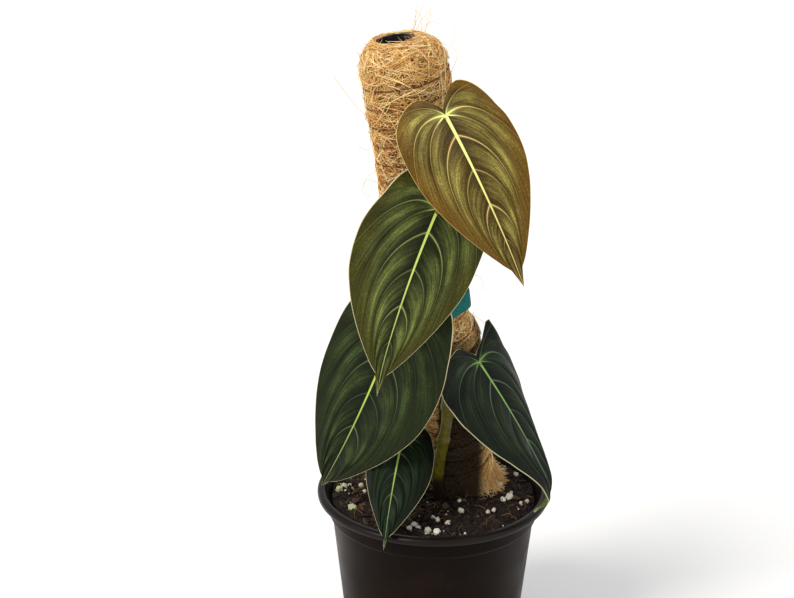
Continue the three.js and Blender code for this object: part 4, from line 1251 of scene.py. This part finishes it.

# %% [markdown]
# The skin is living tissue covered in tiny domed cells, which is what makes it look like velvet: a
# matt face with a glow at grazing angles, so the shader gets sheen. The colour is built in layers, from
# the blade and its pleats, whose crests are painted paler as a sheen and whose sides away from the tip
# are painted darker as shade, to veins, midrib and margin. Young leaves are bronze, old ones
# blackish green. Underneath, the blade is dull olive.

# %% Colours of the five leaves
# pleats says how pale the crests are painted, a painted sheen, banks how much less so their sides away
# from the tip, a painted shade, and veins how bold the veins are.
LEAF_COLOURS = {
    "leaf_1": {"blade": "#3C2B06", "pleat": "#A09248", "glow": "#7A5812", "under": "#6A5A2A",
               "vein": "#D8BC70", "rib": "#E4EC8C", "margin": "#D0B070",
               "pleats": 0.9, "banks": 0.55, "veins": 1.2},
    "leaf_2": {"blade": "#121C06", "pleat": "#7E8642", "glow": "#4E4A10", "under": "#4A5422",
               "vein": "#A4AE62", "rib": "#D2E270", "margin": "#D2C49A",
               "pleats": 0.95, "banks": 0.75, "veins": 0.9},
    "leaf_3": {"blade": "#0B1406", "pleat": "#465628", "glow": "#232C0C", "under": "#3E4A20",
               "vein": "#7C8C4C", "rib": "#B0C858", "margin": "#CDBE92",
               "pleats": 0.85, "banks": 0.6, "veins": 0.6},
    "leaf_4": {"blade": "#060C06", "pleat": "#2E3C22", "glow": "#10180C", "under": "#545A2C",
               "vein": "#6C8A66", "rib": "#88B45C", "margin": "#B8B48A",
               "pleats": 0.8, "banks": 0.5, "veins": 0.75},
    "leaf_5": {"blade": "#071108", "pleat": "#213316", "glow": "#0F180A", "under": "#3C4820",
               "vein": "#5C7A48", "rib": "#98B050", "margin": "#C4BC8C",
               "pleats": 0.8, "banks": 0.6, "veins": 0.5},
}
LEAF_VALUES = ("vein", "between", "rib", "edge", "pleat", "bank", "ink", "star", "t", "along",
               "comb", "back")
# Fine streaks to a pleat, and how much slower they change on the way to the margin.
STREAKS, STREAK_STRETCH = 9, 0.3


# %% Colour of a blade and its veins
def blade_colour(tree, skin, value, where, streak, mottle):
    """The blade's colour: painted paler on the crests as a sheen, cloudy and combed into streaks, and less
    so on their sides away from the tip as a painted shade; paler towards the margin, with a fine mottle over
    all."""
    clouds = add(tree, "TexNoise", {"Vector": where, "Scale": per_mm(16), "Detail": 2})
    cloudy = add(tree, "MapRange", (clouds, 0.3, 0.7, 0.5, 1.2), **EASED)
    # Painted shade: each pleat is darker on its side away from the tip, where the light falls less.
    tipward = add(tree, "MapRange", (value["bank"], 0, 1, 1 - skin["banks"], 1))
    combed = add(tree, "MapRange", (streak, 0.3, 0.7, 0.4, 1.5))
    # Painted sheen: the crests of the pleats are painted paler.
    crest_sheen = value["pleat"]
    for factor in (skin["pleats"], cloudy, tipward, combed):
        crest_sheen = add(tree, "Math", (crest_sheen, factor), **TIMES)
    outer = add(tree, "MapRange", (value["t"], 0.45, 1.0, 0.0, 0.6), **EASED)
    colour = linear(skin["blade"])
    for share, over in ((crest_sheen, "pleat"), (outer, "glow")):
        colour = add(tree, "Mix", {SHARE: share, LOWER: colour, UPPER: linear(skin[over])}, **PAINT)
    speckle = add(tree, "MapRange", (mottle, 0.35, 0.68, 0.64, 1.1), **EASED)
    streaky = add(tree, "MapRange", (streak, 0.3, 0.7, 0.68, 1.3))
    speckle = add(tree, "Math", (speckle, streaky), **TIMES)
    return add(tree, "VectorMath", {0: colour, "Scale": speckle}, operation="SCALE")


def veined_colour(tree, skin, value, colour, halo):
    """Lay the lines over a colour: a faint one between two veins, a halo and a line for each vein, paler
    at the junction, and the midrib, which takes the veins' colour towards the tip."""
    veins = {SHARE: value["star"], LOWER: linear(skin["vein"]), UPPER: linear(skin["rib"])}
    vein_colour = add(tree, "Mix", veins, **PAINT)
    tipward = add(tree, "MapRange", (value["along"], 0.15, 0.85, 0.0, 0.9), **EASED)
    ribs = {SHARE: tipward, LOWER: linear(skin["rib"]), UPPER: linear(skin["vein"])}
    rib_colour = add(tree, "Mix", ribs, **PAINT)
    between = add(tree, "MapRange", (value["between"], 0.1, 0.28, 0.1, 0.0), **EASED)
    line = add(tree, "MapRange", (value["vein"], 0.35, 0.95, 1.0, 0.0), **EASED)
    strength = add(tree, "Math", (value["ink"], skin["veins"]), **TIMES)
    pale_band, pale_line = (add(tree, "Math", (share, strength), **TIMES) for share in (halo, line))
    midrib_line = add(tree, "MapRange", (value["rib"], 0.6, 1.1, 1.0, 0.0), **EASED)
    for share, over in ((between, vein_colour), (pale_band, vein_colour), (pale_line, vein_colour),
                        (midrib_line, rib_colour)):
        colour = add(tree, "Mix", {SHARE: share, LOWER: colour, UPPER: over}, **PAINT)
    return colour


# %% Velvet leaf skin
def velvet_leaf(name, skin):
    """Velvet: the veined colour on the face, dull olive underneath, a light margin round both, and a
    relief of veins, streaks and tiny cells of 0.8 mm."""
    material, tree, shader = new_material(
        name, Roughness=0.5, Specular_IOR_Level=0.12, Sheen_Weight=0.03, Sheen_Roughness=0.4,
        Sheen_Tint=linear("#C8D8B0"))
    value = {key: add(tree, "Attribute", out="Fac", attribute_name=key) for key in LEAF_VALUES}
    where = add(tree, "TexCoord", out="Object")
    mottle = add(tree, "TexNoise", {"Vector": where, "Scale": per_mm(0.8), "Detail": 3})
    slow_run = add(tree, "Math", (value["t"], STREAK_STRETCH), **TIMES)
    lines = add(tree, "CombineXYZ", {"X": value["comb"], "Y": slow_run})
    streak = add(tree, "TexNoise", {"Vector": lines, "Scale": STREAKS, "Detail": 3, "Roughness": 0.6})
    halo = add(tree, "MapRange", (value["vein"], 0.6, 4.0, 0.22, 0.0), **EASED)
    face = blade_colour(tree, skin, value, where, streak, mottle)
    face = veined_colour(tree, skin, value, face, halo)
    under = {SHARE: halo, LOWER: linear(skin["under"]), UPPER: linear("#8A8A48")}
    sides = {SHARE: value["back"], LOWER: face, UPPER: add(tree, "Mix", under, **PAINT)}
    edge = add(tree, "MapRange", (value["edge"], 0.35, 0.75, 0.9, 0.0), **EASED)
    edged = {SHARE: edge, LOWER: add(tree, "Mix", sides, **PAINT), UPPER: linear(skin["margin"])}
    raised = add(tree, "MapRange", (value["vein"], 0.3, 1.6, 1.0, 0.0), **EASED)
    for rough in (mottle, streak):
        raised = add(tree, "Math", (raised, rough), operation="ADD")
    wire(tree, shader, Base_Color=add(tree, "Mix", edged, **PAINT),
         Normal=add(tree, "Bump", {"Height": raised, "Distance": 0.16 * MM}))
    return material


LEAF_SLOTS = {"leaf_1": "leaf_bronze", "leaf_2": "leaf_olive", "leaf_3": "leaf_green",
              "leaf_4": "leaf_dark", "leaf_5": "leaf_small"}
for name, piece in blades.items():
    settle(piece, velvet_leaf("velvet_" + name, LEAF_COLOURS[name]), LEAF_SLOTS[name], name)

# %% [markdown]
# ## Stem and leaf stalks
# The stem climbs before the pole, a little flattened, with a swollen ring where each leaf grew. Each
# stalk leaves a ring, leans out and ends in a thickened joint just under its blade. All are rings
# carried along smooth paths, with a radius that changes with the distance run.

# %% Stem
STEM_RADIUS = 4.0
# Heights of the rings up the pole. Each stalk has its ring's height and a point that it passes.
RINGS = np.array([58, 84, 118, 168, 208])
RING_RISE, RING_WIDTH = 0.9, 3.0
STALKS = {"leaf_1": (208, (0, -75, 372)), "leaf_2": (168, (-1, -62, 325)), "leaf_3": (84, (-8, -42, 245)),
          "leaf_4": (58, (18, -34, 225)), "leaf_5": (24, (-11, -22, 175))}


def climbing_stem(steps=260, sides=20):
    """A pipe that thins above, swells by rise exp(-((height - ring) / width)^2) at each ring, and has
    faint ridges along it."""
    path = at_share(spline(stem_knots), np.linspace(0, 1, steps))
    height = (path - POLE_FOOT) @ POLE_AXIS
    swell = RING_RISE * np.exp(-(((height[:, None] - RINGS) / RING_WIDTH) ** 2)).sum(1)
    taper = 1 - 0.28 * smooth((height - 150) / 90)
    around = 2 * np.pi * np.arange(sides) / sides
    ridges = 0.1 * np.cos(2 * around)[None] + 0.05 * np.cos(5 * around + 0.05 * height[:, None])
    radius = (STEM_RADIUS * taper + swell)[:, None] * 0.94 + ridges
    return pipes(path[None], radius[None], sides, (1, 0.2, 0), height=height)


def leaf_stalk(name, steps=70, sides=14):
    """From inside the stem to the blade's joint: 3.2 mm at its sheath, 1.9 along it, 2.6 at its end."""
    node, via = STALKS[name]
    end = on_blade(LEAVES[name], 0, np.zeros(1), np.zeros(1), np.full(1, -0.9))[0]
    knots = np.array([stem_at(node - 8), stem_at(node + 4), via, end])
    share = np.linspace(0, 1, steps)
    path = at_share(spline(knots), share)
    radius = 1.9 + 1.3 * np.exp(-((share / 0.14) ** 2)) + 0.75 * np.exp(-(((share - 0.96) / 0.06) ** 2))
    around = 2 * np.pi * np.arange(sides) / sides
    radius = radius[:, None] * (1 + 0.06 * np.cos(2 * around)[None])
    height = np.maximum((path - POLE_FOOT) @ POLE_AXIS, 60)
    return pipes(path[None], radius[None], sides, (1, 0.2, 0), height=height)


stem = put_mesh("climbing_stem", *climbing_stem())
stalks = [put_mesh("stalk_" + name, *leaf_stalk(name)) for name in STALKS]


# %% Stem skin
# Heights up the pole in mm between which the green turns to a dark corky brown, part real bark and part
# painted shade near the soil.
CORK_SHADE_TOP, CORK_SHADE_FULL = 33, 24
BARK_GREENS = [(0.3, "#494308"), (0.75, "#706714"), (0.5, "#5D550A")]


def waxy_stem_skin():
    """Green bark: olive and waxy, paler specks of 1 mm along it, and brown and corky near the soil, darkened
    there with painted shade.
    """
    material, tree, shader = new_material("waxy_green_stem", Roughness=0.4, Specular_IOR_Level=0.3)
    where = add(tree, "TexCoord", out="Object")
    height = add(tree, "Attribute", out="Fac", attribute_name="height")
    streaks = add(tree, "TexNoise", {"Vector": where, "Scale": per_mm(3), "Detail": 3})
    pores = add(tree, "TexNoise", {"Vector": where, "Scale": per_mm(1), "Detail": 1})
    specks = add(tree, "MapRange", (pores, 0.7, 0.78, 0.0, 0.35), **EASED)
    # Corky bark near the soil, darkened further as painted shade.
    cork_and_shade = add(tree, "MapRange", (height, CORK_SHADE_TOP, CORK_SHADE_FULL, 0.0, 1.0), **EASED)
    colour = add(tree, "ValToRGB", (streaks,), stops=BARK_GREENS)
    for share, over in ((specks, "#A8A860"), (cork_and_shade, "#23170F")):
        colour = add(tree, "Mix", {SHARE: share, LOWER: colour, UPPER: linear(over)}, **PAINT)
    wire(tree, shader, Base_Color=colour,
         Normal=add(tree, "Bump", {"Height": streaks, "Distance": 0.03 * MM}))
    return material


stem_material = waxy_stem_skin()
settle(stem, stem_material, "stem_skin", "stem")
for piece in stalks:
    settle(piece, stem_material, "stem_skin")
